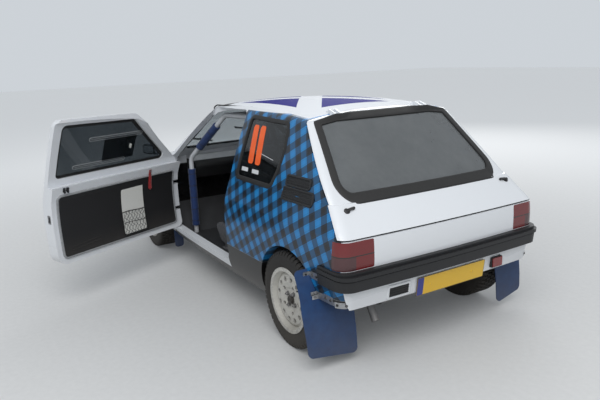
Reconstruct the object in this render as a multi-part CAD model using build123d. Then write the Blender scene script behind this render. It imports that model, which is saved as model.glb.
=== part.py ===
"""A three-door rally hatchback, standing on its wheels with the left door open.

Millimetres. +X is forward, +Y is the car's left, +Z is up. The origin lies on the ground, on the
car's centre plane, midway between the axles. Every piece is written to parts/ as one STEP file.
"""

from build123d import *
from functools import cache
from math import cos, radians, sin
import os

# Driving dimensions of the car
WHEELBASE = 2420.0
FRONT_OVERHANG = 602.0
REAR_OVERHANG = 532.0
FRONT_TRACK = 1380.0
REAR_TRACK = 1322.0
TYRE_R = 289.0
TYRE_W = 185.0
RIM_FLANGE_R = 195.0
RIM_BEAD_R = 178.0
FRONT_ARCH_R = 324.0
REAR_ARCH_R = 322.0
STEER_WELL_R = 352.0
REAR_WELL_R = 331.0
SHUT_GAP = 5.5
BONNET_GAP = 7.6
HINGE_SIDE_GAP = 9.0
SEAT_GAP = 0.3
LEFT_DOOR_OPEN_DEG = 66.0

FRONT_AXLE_X = WHEELBASE / 2
REAR_AXLE_X = -WHEELBASE / 2
FRONT_WHEEL_Y = FRONT_TRACK / 2
REAR_WHEEL_Y = REAR_TRACK / 2
NOSE_X = FRONT_AXLE_X + FRONT_OVERHANG
TAIL_X = REAR_AXLE_X - REAR_OVERHANG
# Nose pieces lie ahead of this line, and tail pieces behind the other
NOSE_JOINT_X = NOSE_X - 111
TAIL_JOINT_X = TAIL_X + 41
# Planes well clear of the car, for pieces that are cut by it
AHEAD, BEHIND, ASIDE, ABOVE, LOW = NOSE_X + 138, TAIL_X - 208, 950, 1450, 190

# Walls, each as thick as the whole wall, door or lid
SIDE_WALL = 60.0
PILLAR_WALL = 45.0
WING_SKIN = 10.0
NOSE_SKIN = 12.0
BONNET_T = 20.0
ROOF_T = 26.0
TAILGATE_T = 34.0
DOOR_T = 95.0
DOOR_FRAME_T = 38.0
DOOR_CARD_T = 8.0
GLASS_T = 5.0
SIDE_GLASS_DEPTH = 14.0
FIXED_GLASS_DEPTH = 5.0
LAMP_DEPTH = 45.0
FLAP_T = 6.0

# Body sections: height, x at the nose, half width at the nose, half width amidships, x at the tail,
# half width at the tail, corner radius at the nose, corner radius at the tail
LOWER_LEVELS = [
    (195, NOSE_X - 112, 640, 700, TAIL_X + 102, 650, 110, 90),
    (300, NOSE_X - 42, 705, 752, TAIL_X + 42, 698, 120, 85),
    (430, NOSE_X - 12, 735, 771, TAIL_X + 14, 718, 120, 80),
    (600, NOSE_X, 745, 778, TAIL_X, 727, 115, 75),
    (762, NOSE_X - 12, 728, 765, TAIL_X + 4, 716, 105, 65),
]
BELT_Z = 905.0
SHOULDER_LEVELS = [LOWER_LEVELS[-1], (BELT_Z, NOSE_X - 32, 640, 716, TAIL_X + 157, 664, 90, 55)]
CABIN_BASE_Z = 860.0
CABIN_LEVELS = [
    (CABIN_BASE_Z, 925, 706, 727, TAIL_X + 125, 672, 80, 48),
    (1105, 578, 606, 640, TAIL_X + 370, 602, 85, 44),
    (1400, 145, 462, 505, TAIL_X + 674, 488, 85, 44),
]
SILL_Z = LOWER_LEVELS[0][0]
SILL_TOP_Z = 240.0
SILL_Y = 640.0
TAIL_HEM_Z = 400.0
VALANCE_HEM_Z = 382.0
# How far the nose and tail of each section bow out at the centre, and where the side is widest
LOWER_BOW = (45, 18, -100)
CABIN_BOW = (70, 22, -350)

# Crowned surfaces: x, height on the centre line
ROOF_LINE = [(1000, 1217), (-450, 1366), (TAIL_X - 158, 1217)]
BONNET_LINE = [(NOSE_X + 188, 660), (1350, 842), (600, 958), (TAIL_X - 258, 1300)]
ROOF_DROP, ROOF_DROP_Y = 40.0, 560.0
BONNET_DROP, BONNET_DROP_Y = 40.0, 760.0
CANTRAIL_R = 50.0

# Shut lines and bulkheads
DOOR_FRONT_X = 712.0
DOOR_BOTTOM_Z = 318.0
DOOR_REAR_X = -440.0
HINGE_X = 693.0
HINGE_Y = 752.0
HINGE_ROUND_R = 20.0
BONNET_REAR_X = 925.0
BONNET_HALF_Y = 628.0
BONNET_NOSE_Z = 700.0
NOSE_TOP_Z = BONNET_NOSE_Z - 6
ROOF_HALF_Y = 492.0
ROOF_REAR_X = TAIL_X + 647
ROOF_REAR_Z = 1326.0
LAMP_TOP_Z = 758.0
LAMP_LOW_Z = 602.0
TAIL_LAMP_Y = 524.0
SCREEN_SILL_X = 690.0
SCREEN_SILL_Y = 655.0
SCUTTLE_Y = 610.0
ENGINE_REAR_X = FRONT_AXLE_X - 200
FIREWALL_X = 826.0
FIREWALL_T = 20.0
TUNNEL_HALF_Y = 115.0
TUNNEL_WALL = 20.0
FLOOR_Z = 215.0
FLOOR_T = 20.0
BOOT_Z = 430.0
STEP_X = -826.0
BOOT_END_X = TAIL_X + 142
HOUSING_Y = 546.0
HOUSING_T = 14.0
INNER_WING_Y = 422.0
INNER_WING_T = 12.0
RADIATOR_X = NOSE_X - 172

# Outlines seen from the side: x, z, corner radius
DOOR_OUTLINE = [
    (DOOR_FRONT_X, DOOR_BOTTOM_Z, 45), (DOOR_FRONT_X, 872, 90), (205, 1302, 60),
    (-428, 1316, 45), (DOOR_REAR_X, 880, 200), (DOOR_REAR_X, DOOR_BOTTOM_Z, 70),
]
DOOR_WINDOW = [(604, 912, 30), (196, 1262, 55), (-372, 1275, 35), (-386, 912, 30)]
QUARTER_REAR_X = ROOF_REAR_X + 65
QUARTER_WINDOW = [
    (-530, 912, 30), (-524, 1284, 35), (QUARTER_REAR_X + 52, 1272, 40), (QUARTER_REAR_X, 1090, 300),
    (QUARTER_REAR_X + 68, 912, 40),
]
TAILGATE_OUTLINE = [
    (ROOF_REAR_X, ABOVE, 0), (ROOF_REAR_X, ROOF_REAR_Z, 0), (TAIL_X + 342, 1020, 900), (TAIL_X + 66, LAMP_TOP_Z, 0),
    (BEHIND, LAMP_TOP_Z, 0), (BEHIND, ABOVE, 0),
]
# Outlines seen from the front or rear: y, z, corner radius
WINDSCREEN = [(-632, 932, 60), (632, 932, 60), (462, 1290, 60), (-462, 1290, 60)]
LAMP_BAND = [(-742, 566, 20), (742, 566, 20), (742, 684, 20), (-742, 684, 20)]
GRILLE_HALF_Y = 469.0
BONNET_STOP_Y = 400.0
REAR_GLASS = [(-574, 928, 60), (574, 928, 60), (470, 1296, 45), (-470, 1296, 45)]


def corner_face(points, place):
    """A flat face through (a, b, radius) points, where place(a, b) gives each corner in space."""
    corners = [Vector(*place(a, b)) for a, b, _ in points]
    face = Face(Wire.make_polygon(corners, close=True))
    for corner, (_, _, radius) in zip(corners, points):
        if radius:
            nearest = min(face.vertices(), key=lambda v: (v.center() - corner).length)
            face = face.fillet_2d(radius, [nearest])
    return face


def side_prism(points, y_from, y_to):
    """An outline seen from the side, carried from one y to another."""
    face = corner_face(points, lambda x, z: (x, y_from, z))
    return Solid.extrude(face, Vector(0, y_to - y_from, 0))


def end_prism(points, x_from, x_to):
    """An outline seen from the front, carried from one x to another."""
    face = corner_face(points, lambda y, z: (x_from, y, z))
    return Solid.extrude(face, Vector(x_to - x_from, 0, 0))


def top_prism(points, z_from, z_to):
    """An outline seen from above, carried from one height to another."""
    face = corner_face(points, lambda x, y: (x, y, z_from))
    return Solid.extrude(face, Vector(0, 0, z_to - z_from))


def block(x, y, z):
    """A block between two values on each axis."""
    corner = Vector(min(x), min(y), min(z))
    return Solid.make_box(abs(x[1] - x[0]), abs(y[1] - y[0]), abs(z[1] - z[0])).moved(Location(corner))


def rod(start, end, radius):
    """A round bar between two points."""
    start, end = Vector(*start), Vector(*end)
    return Solid.make_cylinder(radius, (end - start).length, Plane(origin=start, z_dir=end - start))


def bent_tube(points, radius, bend):
    """A round tube through the points, with an arc of the bend radius at each corner."""
    path = FilletPolyline(*points, radius=bend)
    start = Plane(origin=path @ 0, z_dir=path % 0)
    return sweep(start * Circle(radius), path=path).solid()


def wheel_drum(axle_x, radius, y_from, y_to):
    """A cylinder round a wheel's axis."""
    return rod((axle_x, y_from, TYRE_R), (axle_x, y_to, TYRE_R), radius)


def turned(profile, axle_x, centre_y, side):
    """A wheel part turned from a profile of radius, distance outwards from the wheel's centre, corner radius."""
    face = corner_face(profile, lambda r, y: (axle_x + r, centre_y + side * y, TYRE_R))
    return Solid.revolve(face, 360, Axis((axle_x, 0, TYRE_R), (0, 1, 0)))


def mirrored(shape):
    return mirror(shape, about=Plane.XZ)


def both_sides(shape):
    return shape + mirrored(shape)


def largest(shape):
    return max(shape.solids(), key=lambda s: s.volume)


def plan_wire(level, inset, bow):
    """One section: four arcs with round corners, moved inwards by inset."""
    z, nose_x, nose_y, mid_y, tail_x, tail_y, nose_r, tail_r = level
    nose_bow, tail_bow, mid_x = bow
    nose_x, nose_y, mid_y = nose_x - inset, nose_y - inset, mid_y - inset
    tail_x, tail_y = tail_x + inset, tail_y - inset
    front_left, front_right = (nose_x - nose_bow, nose_y, z), (nose_x - nose_bow, -nose_y, z)
    rear_left, rear_right = (tail_x + tail_bow, tail_y, z), (tail_x + tail_bow, -tail_y, z)
    face = Face(Wire([
        ThreePointArc(front_right, (nose_x, 0, z), front_left),
        ThreePointArc(front_left, (mid_x, mid_y, z), rear_left),
        ThreePointArc(rear_left, (tail_x, 0, z), rear_right),
        ThreePointArc(rear_right, (mid_x, -mid_y, z), front_right),
    ]))
    for radius, at_nose in ((nose_r, True), (tail_r, False)):
        corners = [v for v in face.vertices().sort_by(Axis.X) if abs(v.Y) > 0]
        corners = corners[-2:] if at_nose else corners[:2]
        face = face.fillet_2d(max(radius - inset / 2, 20), corners)
    return face.outer_wire()


def loft_levels(levels, inset, bow):
    return Solid.make_loft([plan_wire(level, inset, bow) for level in levels], False)


def crowned_block(line, drop, drop_y, lower_by):
    """Everything under a surface that is arched along the line and across it."""
    half, floor = ASIDE, 100.0
    fall = drop / drop_y**2 * half**2
    wires = []
    for x, z in line:
        left, right = (x, half, z - lower_by - fall), (x, -half, z - lower_by - fall)
        wires.append(Wire([
            ThreePointArc(right, (x, 0, z - lower_by), left), Line(left, (x, half, floor)),
            Line((x, half, floor), (x, -half, floor)), Line((x, -half, floor), right),
        ]))
    return Solid.make_loft(wires, False)


@cache
def lower_body(inset, top_inset):
    """The body below the windows, moved inwards by inset, and its top lowered by top_inset."""
    tub = loft_levels(LOWER_LEVELS, inset, LOWER_BOW) + loft_levels(SHOULDER_LEVELS, inset, LOWER_BOW)
    return tub & crowned_block(BONNET_LINE, BONNET_DROP, BONNET_DROP_Y, top_inset)


@cache
def upper_body(inset, top_inset):
    """The glasshouse and roof, moved inwards by inset, and the roof lowered by top_inset."""
    house = loft_levels(CABIN_LEVELS, inset, CABIN_BOW)
    house = largest(house & crowned_block(ROOF_LINE, ROOF_DROP, ROOF_DROP_Y, top_inset))
    rim = [e for e in house.edges() if e.center().Z > 1200 and e.bounding_box().size.Z < 90]
    return house.fillet(max(CANTRAIL_R - inset / 2, 20), rim)


LOWER = lower_body(0, 0)
UPPER = upper_body(0, 0)
OUTER = LOWER + UPPER
LOWER_LINING = lower_body(SIDE_WALL, 0)
UPPER_LINING = upper_body(PILLAR_WALL, ROOF_T)
BONNET_LINING = lower_body(BONNET_T, BONNET_T)
NOSE_LINING = lower_body(NOSE_SKIN, NOSE_SKIN)
CABIN_VOID = (LOWER_LINING & block((BEHIND, FIREWALL_X), (-ASIDE, ASIDE), (100, 1050))) + UPPER_LINING
FIXED_PANES = upper_body(FIXED_GLASS_DEPTH, FIXED_GLASS_DEPTH) - upper_body(
    FIXED_GLASS_DEPTH + GLASS_T, FIXED_GLASS_DEPTH + GLASS_T)


def grown(points, by):
    """The same outline with every edge moved outwards by that much, or inwards where it is negative."""
    count = len(points)
    area = sum(points[n - 1][0] * points[n][1] - points[n][0] * points[n - 1][1] for n in range(count))
    turn = 1 if area > 0 else -1
    moved = []
    for n in range(count):
        here = Vector(points[n][0], points[n][1])
        before = (here - Vector(points[n - 1][0], points[n - 1][1])).normalized()
        after = (Vector(points[(n + 1) % count][0], points[(n + 1) % count][1]) - here).normalized()
        out_before, out_after = Vector(before.Y, -before.X) * turn, Vector(after.Y, -after.X) * turn
        miter = (out_before + out_after) * (by / (1 + out_before.dot(out_after)))
        convex = before.cross(after).Z * turn > 0
        radius = points[n][2] and max(points[n][2] + (by if convex else -by), 2)
        moved.append((here.X + miter.X, here.Y + miter.Y, radius))
    return moved


def roof_region():
    return block((ROOF_REAR_X, 460), (-ROOF_HALF_Y, ROOF_HALF_Y), (1240, ABOVE)) - end_prism(WINDSCREEN, 0, 1000)


def bonnet_region(margin):
    """The bonnet seen from above, grown by a margin: its rear edge follows the windscreen."""
    rear, half = BONNET_REAR_X - margin, BONNET_HALF_Y + margin
    corners = [(AHEAD, -half + 14, 0), (AHEAD, half - 14, 0), (rear - 62, half + 6, 0), (rear - 16, half / 2, 900),
               (rear, 0, 2000), (rear - 16, -half / 2, 900), (rear - 62, -half - 6, 0)]
    return top_prism(corners, BONNET_NOSE_Z - 4 - margin, 1050)


def tail_lamp_region(side):
    return end_prism([(side * TAIL_LAMP_Y, LAMP_LOW_Z, 10), (side * TAIL_LAMP_Y, LAMP_TOP_Z - 6, 10),
                      (side * ASIDE, LAMP_TOP_Z - 6, 0), (side * ASIDE, LAMP_LOW_Z, 0)], BEHIND, TAIL_X + 94)


def door_opening():
    """The hole in the body side: the door's outline with its shut gap, and room round the hinge."""
    hinge_room = Solid.make_cylinder(HINGE_ROUND_R + 7, 700).moved(Location(Vector(HINGE_X, HINGE_Y, 250)))
    hinge_edge = block((DOOR_FRONT_X - 60, DOOR_FRONT_X + HINGE_SIDE_GAP), (300, 950), (DOOR_BOTTOM_Z + 20, 820))
    return side_prism(grown(DOOR_OUTLINE, SHUT_GAP), 300, 950) + hinge_room + hinge_edge


def sill_region():
    return block((-880, FIREWALL_X), (SILL_Y, 900), (SILL_Z, SILL_TOP_Z))


def body_side():
    """The left side: sill, door post, quarter panel, pillars and the rail over the door."""
    side = (OUTER - CABIN_VOID) & block((TAIL_JOINT_X, FIREWALL_X), (0, ASIDE), (SILL_Z, ABOVE))
    side += OUTER & sill_region()
    side -= door_opening()
    side -= side_prism(QUARTER_WINDOW, 300, 900)
    side -= side_prism(TAILGATE_OUTLINE, -10, ASIDE)
    side -= tail_lamp_region(1)
    side -= block((BEHIND, 860), (-10, 560), (SILL_Z - 5, BELT_Z))
    side -= block((BEHIND, REAR_AXLE_X), (-10, ASIDE), (SILL_Z - 5, TAIL_HEM_Z))
    side -= roof_region()
    side -= end_prism(WINDSCREEN, 100, 1100)
    side -= block((SCREEN_SILL_X, 1000), (-10, SCREEN_SILL_Y), (CABIN_BASE_Z, 965))
    side -= wheel_drum(REAR_AXLE_X, REAR_ARCH_R, 400, 900)
    side -= (LOWER - NOSE_LINING) & block((DOOR_FRONT_X + HINGE_SIDE_GAP, 900), (300, ASIDE), (LOW, 1050))
    return largest(side)


def front_wing():
    skin = (LOWER - lower_body(WING_SKIN, WING_SKIN)) & block(
        (DOOR_FRONT_X + HINGE_SIDE_GAP, AHEAD), (SCUTTLE_Y, ASIDE), (240, 1050))
    skin -= bonnet_region(BONNET_GAP)
    skin -= block((NOSE_JOINT_X - 1, AHEAD), (0, ASIDE), (LOW, NOSE_TOP_Z))
    skin -= wheel_drum(FRONT_AXLE_X, FRONT_ARCH_R, 400, 900)
    skin -= UPPER
    return largest(skin)


def bonnet():
    lid_room = block((700, AHEAD), (-ASIDE, ASIDE), (BONNET_NOSE_Z, 1050))
    return largest((LOWER - BONNET_LINING) & bonnet_region(0) & lid_room)


def scuttle():
    """Bulkhead with the strip below the windscreen that carries the glass."""
    plate = BONNET_LINING & block((FIREWALL_X, FIREWALL_X + FIREWALL_T), (-760, 760), (FLOOR_Z + FLOOR_T, 1050))
    tunnel_y = TUNNEL_HALF_Y - TUNNEL_WALL
    plate -= block((800, 900), (-tunnel_y, tunnel_y), (200, 395))
    shelf = (LOWER - BONNET_LINING) & block((SCREEN_SILL_X, 940), (-SCUTTLE_Y, SCUTTLE_Y), (CABIN_BASE_Z, 1050))
    shelf -= bonnet_region(BONNET_GAP)
    shelf -= UPPER_LINING
    sill = (UPPER - UPPER_LINING) & block(
        (SCREEN_SILL_X, 1000), (-SCREEN_SILL_Y, SCREEN_SILL_Y), (CABIN_BASE_Z, 965))
    sill -= end_prism(WINDSCREEN, 100, 1100)
    return largest(plate + shelf + sill)


def front_panel():
    """Nose skin with its lamp and grille openings, and the radiator frame behind it."""
    nose = (LOWER - NOSE_LINING) & block((NOSE_JOINT_X, AHEAD), (-ASIDE, ASIDE), (230, NOSE_TOP_Z))
    nose -= end_prism(LAMP_BAND, RADIATOR_X, AHEAD)
    nose -= end_prism([(-300, 270, 25), (300, 270, 25), (300, 380, 25), (-300, 380, 25)], RADIATOR_X, AHEAD)
    frame = block((RADIATOR_X, RADIATOR_X + 25), (-640, 640), (300, NOSE_TOP_Z - 4))
    frame -= block((RADIATOR_X - 10, RADIATOR_X + 50), (-300, 300), (340, 620))
    shelf = block((RADIATOR_X, NOSE_X + 38), (-560, 560), (NOSE_TOP_Z - 10, NOSE_TOP_Z)) & NOSE_LINING
    stop_x = NOSE_X - 36
    for y in (-BONNET_STOP_Y, BONNET_STOP_Y):
        shelf += block((stop_x - 8, stop_x + 8), (y - 10, y + 10), (NOSE_TOP_Z - 4, BONNET_NOSE_Z - SEAT_GAP))
    return nose + frame + shelf


def inner_wing():
    """Inner wing plate, wheel housing and the hollow tower over the strut."""
    plate = block((FIREWALL_X + FIREWALL_T, RADIATOR_X), (INNER_WING_Y - INNER_WING_T, INNER_WING_Y), (330, 700))
    liner = wheel_drum(FRONT_AXLE_X, STEER_WELL_R + 8, INNER_WING_Y - 4, 640) - wheel_drum(
        FRONT_AXLE_X, STEER_WELL_R, 300, 700)
    liner &= block((FIREWALL_X + FIREWALL_T, FRONT_AXLE_X + 390), (400, 700), (TYRE_R + 60, 800))
    tower = rod((FRONT_AXLE_X, 525, 602), (FRONT_AXLE_X, 525, 702), 72)
    cavity = rod((FRONT_AXLE_X, 525, 500), (FRONT_AXLE_X, 525, TOWER_ROOF_Z), 62)
    return plate + (liner + tower - cavity)


def floor_fold():
    """Floor, toe board, rear step and boot floor in one fold, with the tunnel's roof and walls."""
    low, high, t = FLOOR_Z, BOOT_Z, FLOOR_T
    fold = [(FIREWALL_X, 470, 0), (FIREWALL_X, 440, 0), (640, low, 0), (STEP_X + 60, low, 0), (STEP_X, high, 0),
            (BOOT_END_X, high, 0), (BOOT_END_X, high + t, 0), (STEP_X + 14, high + t, 0),
            (STEP_X + 74, low + t, 0), (632, low + t, 0)]
    pan = side_prism(fold, -760, 760) & lower_body(SIDE_WALL + SEAT_GAP, 0)
    pan += block((BEHIND, BOOT_END_X + 10), (-540, 540), (high, high + t)) & lower_body(NOSE_SKIN + SEAT_GAP, 0)
    tunnel = [(FIREWALL_X, 240, 0), (FIREWALL_X, 420, 0), (500, 360, 0), (STEP_X + 36, 360, 0), (STEP_X + 66, 230, 0)]
    hollow = [(900, 150, 0), (900, 400, 0), (500, 345, 0), (-900, 345, 0), (-900, 150, 0)]
    pan += side_prism(tunnel, -TUNNEL_HALF_Y, TUNNEL_HALF_Y)
    pan -= side_prism(hollow, TUNNEL_WALL - TUNNEL_HALF_Y, TUNNEL_HALF_Y - TUNNEL_WALL)
    pan -= both_sides(wheel_drum(REAR_AXLE_X, REAR_WELL_R + HOUSING_T, HOUSING_Y, 800))
    return pan - both_sides(sill_region())


def floor_section(fold, x, y):
    """One pressing of the floor, cut out of the fold between two x and two y."""
    return largest(fold & block(x, y, (100, 600)))


def wheel_housing():
    """The left rear wheel's inner housing, between the boot floor and the body side."""
    housing = wheel_drum(REAR_AXLE_X, REAR_WELL_R + HOUSING_T, HOUSING_Y, 716)
    housing -= wheel_drum(REAR_AXLE_X, REAR_WELL_R, HOUSING_Y + HOUSING_T, 730)
    housing &= block((BOOT_END_X, STEP_X + 26), (500, 720), (BOOT_Z, 900))
    return largest(housing & lower_body(SIDE_WALL + SEAT_GAP, 0))


def rear_panel():
    """The fixed panel between the tail lamps, down behind the bumper to the valance."""
    skin = (LOWER - NOSE_LINING) & block(
        (BEHIND, TAIL_JOINT_X), (-ASIDE, ASIDE), (VALANCE_HEM_Z, LAMP_TOP_Z - 4))
    return skin - tail_lamp_region(1) - tail_lamp_region(-1)


def tail_lamp():
    lamp = (LOWER - lower_body(LAMP_DEPTH, LAMP_DEPTH)) & tail_lamp_region(1)
    return largest(lamp)


def headlamp():
    lamp = (LOWER - lower_body(LAMP_DEPTH, LAMP_DEPTH)) & end_prism(grown(LAMP_BAND, -SEAT_GAP), RADIATOR_X, AHEAD)
    return largest(lamp & block((NOSE_JOINT_X, AHEAD), (GRILLE_HALF_Y + SEAT_GAP, ASIDE), (500, 700)))


def grille():
    """Level slats between the headlamps, held by upright bars."""
    low, high = LAMP_BAND[0][1] + SEAT_GAP, LAMP_BAND[2][1] - SEAT_GAP
    layer = (LOWER - lower_body(22, 22)) & block((NOSE_JOINT_X, AHEAD), (-GRILLE_HALF_Y, GRILLE_HALF_Y), (low, high))
    gaps = []
    for row in range(4):
        z = 576 + row * 26
        gaps += [block((NOSE_JOINT_X - 1, AHEAD), (y, y + 308), (z, z + 19)) for y in (-465, -154, 157)]
    return largest(layer.cut(*gaps))


# Bumper bands: from z, to z, how far the body is grown, how far the band is moved away from the car
REAR_BUMPER = [(498, 556, 14, 22), (556, 563, 10, 17), (563, 584, 18, 27), (584, 600, 11, 17)]
FRONT_BUMPER = [(392, 500, 18, 48), (500, 507, 14, 42), (507, 545, 22, 54), (545, 560, 16, 44)]


def bumper(bands, end, x_from, x_to):
    """A moulding round one end of the body, in bands: the body's own shape, grown and moved outwards."""
    moulding = None
    for z_from, z_to, outset, away in bands:
        band = lower_body(-outset, 0).moved(Location(Vector(end * away, 0, 0)))
        band &= block((x_from, x_to), (-ASIDE, ASIDE), (z_from, z_to))
        moulding = band if moulding is None else moulding + band
    return largest(moulding - lower_body(-SEAT_GAP, 0))


def tailgate():
    lid = OUTER - lower_body(TAILGATE_T, 0) - upper_body(TAILGATE_T, TAILGATE_T)
    lid &= side_prism(grown(TAILGATE_OUTLINE, -SHUT_GAP), -ASIDE, ASIDE)
    lid -= end_prism(REAR_GLASS, BEHIND, ROOF_REAR_X + 195)
    return largest(lid + both_sides(tailgate_ears()))


TAILGATE_HINGE = (ROOF_REAR_X - 5.5, ROOF_REAR_Z + 14)
TAILGATE_HINGE_Y = 330.0
TAILGATE_PIN_R = 4.0
TAILGATE_BORE_R = 4.05


def at_tailgate_axis(y_from, y_to, radius):
    """A cylinder on the tailgate's hinge axis."""
    x, z = TAILGATE_HINGE
    return rod((x, y_from, z), (x, y_to, z), radius)


def tailgate_hinge():
    """An arm on the roof's rear edge that ends in an eye round the tailgate's pin."""
    x, z = TAILGATE_HINGE
    y = TAILGATE_HINGE_Y
    arm = side_prism([(x + 2, z + 9, 0), (x - 3, z - 4, 0), (x + 8, z - 9, 0), (x + 8, z - 40, 0),
                      (x + 62, z - 40, 0), (x + 62, z - 8, 6)], y - 8, y + 8)
    arm += at_tailgate_axis(y - 8, y + 8, 9.5)
    return largest(arm - at_tailgate_axis(y - 30, y + 30, TAILGATE_BORE_R) - OUTER)


def tailgate_ears():
    """Two ears on the lid, either side of the roof's eye, with the pin between them."""
    x, z = TAILGATE_HINGE
    y = TAILGATE_HINGE_Y
    profile = [(x - 2, z + 9, 0), (x - 2, z - 9, 0), (x - 16, z - 22, 0), (x - 66, z - 40, 0), (x - 66, z - 14, 6)]
    pin = at_tailgate_axis(y - 20, y + 20, TAILGATE_PIN_R)
    for low, high in ((y - 26, y - 13), (y + 13, y + 26)):
        pin += side_prism(profile, low, high) + at_tailgate_axis(low, high, 9.5)
    return pin


def pane(outline, prism, low, high):
    """A curved pane that fills a window with a hair of clearance."""
    return largest(FIXED_PANES & prism(grown(outline, -SEAT_GAP), low, high))


# Door handle and fuel flap, seen from the side: x, z, corner radius
HANDLE_RECESS = [(-402, 742, 14), (-402, 800, 14), (-262, 800, 14), (-262, 742, 14)]
HANDLE_FLAP = [(-398, 766, 10), (-398, 796, 10), (-266, 796, 10), (-266, 766, 10)]
HANDLE_DEPTH = 14.0
FUEL_FLAP = (-1335.0, 806.0, 62.0)
FUEL_FLAP_GROOVE = 3.5


def skin_layer(depth):
    """The outermost layer of the lower body."""
    return LOWER - lower_body(depth, 0)


def handle_recess():
    """A finger recess in the door's skin with a flap across its upper half."""
    flap = side_prism(HANDLE_FLAP, 600, ASIDE) & skin_layer(5)
    return (side_prism(HANDLE_RECESS, 600, ASIDE) & skin_layer(HANDLE_DEPTH)) - flap


def fuel_flap_groove():
    """The round gap about the fuel flap, given for the left side."""
    x, z, radius = FUEL_FLAP
    ring = rod((x, 600, z), (x, ASIDE, z), radius + FUEL_FLAP_GROOVE) - rod((x, 600, z), (x, ASIDE, z), radius)
    return ring & skin_layer(FUEL_FLAP_GROOVE)


def hinge_slot(z):
    """Room in the door's front edge for one hinge arm and its eye."""
    slot = Solid.make_cylinder(30, 30).moved(Location(Vector(HINGE_X, HINGE_Y, z - 15)))
    slot += block((HINGE_X - 30, DOOR_FRONT_X + 5), (HINGE_Y - 95, HINGE_Y), (z - 15, z + 15))
    outer_skin = block((HINGE_X - 60, HINGE_X), (HINGE_Y + 13, HINGE_Y + 60), (z - 20, z + 20))
    return slot - outer_skin


HINGE_HEIGHTS = (470, 690)
HINGE_PIN_R = 6.0
HINGE_BORE_R = 6.05


def door_shell():
    """The left door, closed: shell and window frame, with a round front edge and its hinge pins."""
    inside = lower_body(DOOR_T, 0) + upper_body(DOOR_FRAME_T, DOOR_FRAME_T)
    shell = (OUTER - inside) & side_prism(DOOR_OUTLINE, ROOF_HALF_Y + SHUT_GAP, 950)
    shell -= side_prism(DOOR_WINDOW, 300, 950)
    nose = block((HINGE_X, 760), (HINGE_Y, 900), (200, 1000))
    nose -= Solid.make_cylinder(HINGE_ROUND_R, 900).moved(Location(Vector(HINGE_X, HINGE_Y, 150)))
    shell -= nose
    for z in HINGE_HEIGHTS:
        shell -= hinge_slot(z)
        shell += rod((HINGE_X, HINGE_Y, z - 20), (HINGE_X, HINGE_Y, z + 20), HINGE_PIN_R)
    return largest(shell - handle_recess())


def door_hinge(z):
    """An arm from the front post that ends in an eye round the door's pin."""
    arm = top_prism([(745, 668, 0), (745, 700, 0), (HINGE_X + 8, HINGE_Y + 4, 0), (HINGE_X - 8, HINGE_Y + 4, 0),
                     (HINGE_X - 6, HINGE_Y - 40, 20), (724, 668, 0)], z - 8, z + 8)
    eye = rod((HINGE_X, HINGE_Y, z - 8), (HINGE_X, HINGE_Y, z + 8), 12)
    return arm + eye - rod((HINGE_X, HINGE_Y, z - 30), (HINGE_X, HINGE_Y, z + 30), HINGE_BORE_R)


def door_glass():
    layer = upper_body(SIDE_GLASS_DEPTH, SIDE_GLASS_DEPTH) - upper_body(
        SIDE_GLASS_DEPTH + GLASS_T, SIDE_GLASS_DEPTH + GLASS_T)
    return largest(layer & side_prism(grown(DOOR_WINDOW, -SEAT_GAP), 300, 950))


def door_card():
    outline = [(DOOR_FRONT_X - 60, DOOR_BOTTOM_Z + 40, 30), (DOOR_FRONT_X - 60, 800, 30),
               (DOOR_REAR_X + 40, 800, 30), (DOOR_REAR_X + 40, DOOR_BOTTOM_Z + 40, 30)]
    depth = DOOR_T + SEAT_GAP
    layer = lower_body(depth, 0) - lower_body(depth + DOOR_CARD_T, 0)
    return largest(layer & side_prism(outline, 300, 950))


def door_mirror():
    """A rounded shell on a short foot at the front of the door's window frame."""
    shell = Solid.make_box(60, 150, 90).moved(Location(Vector(560, 742, 925)))
    shell = shell.fillet(22, shell.edges())
    foot = rod((590, 600, 935), (590, 770, 965), 16) - upper_body(-SEAT_GAP, 0)
    return largest(shell + foot)


def tyre(axle_x, centre_y, side):
    half, shoulder = TYRE_W / 2, 22.0
    profile = [(RIM_BEAD_R, -half + 14, 0), (RIM_BEAD_R + 10, -half + 8, 0), (RIM_BEAD_R + 45, -half, 40),
               (TYRE_R - shoulder, -half + 2, 10), (TYRE_R, -half + shoulder, 8), (TYRE_R, half - shoulder, 8),
               (TYRE_R - shoulder, half - 2, 10), (RIM_BEAD_R + 45, half, 40), (RIM_BEAD_R + 10, half - 8, 0),
               (RIM_BEAD_R, half - 14, 0)]
    return turned(profile, axle_x, centre_y, side)


SHAFT_R = 20.0
SHAFT_BORE_R = 20.09
HUB_R = 58.0
# Distances outwards from the wheel's centre: where the wheel bolts to its hub, and the brake disc
WHEEL_SEAT = 46.0
BRAKE_DISC = (-24.0, -12.0)
BRAKE_DISC_R = 118.0
# Rings of holes in the wheel's face: radius of the ring, radius of a hole, number, angle of the first
WHEEL_HOLES = [(124, 14, 12, 8), (83, 11, 5, 40)]


def brake_disc(axle_x, centre_y, side):
    """The disc and its hat, bolted to the inside of the wheel's centre."""
    inner, outer = BRAKE_DISC
    hat_r = HUB_R + 5
    hat = [(hat_r, inner, 0), (BRAKE_DISC_R, inner, 0), (BRAKE_DISC_R, outer, 0), (hat_r + 8, outer, 0),
           (hat_r + 8, WHEEL_SEAT + 9, 0), (hat_r, WHEEL_SEAT + 9, 0)]
    return turned(hat, axle_x, centre_y, side)


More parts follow.
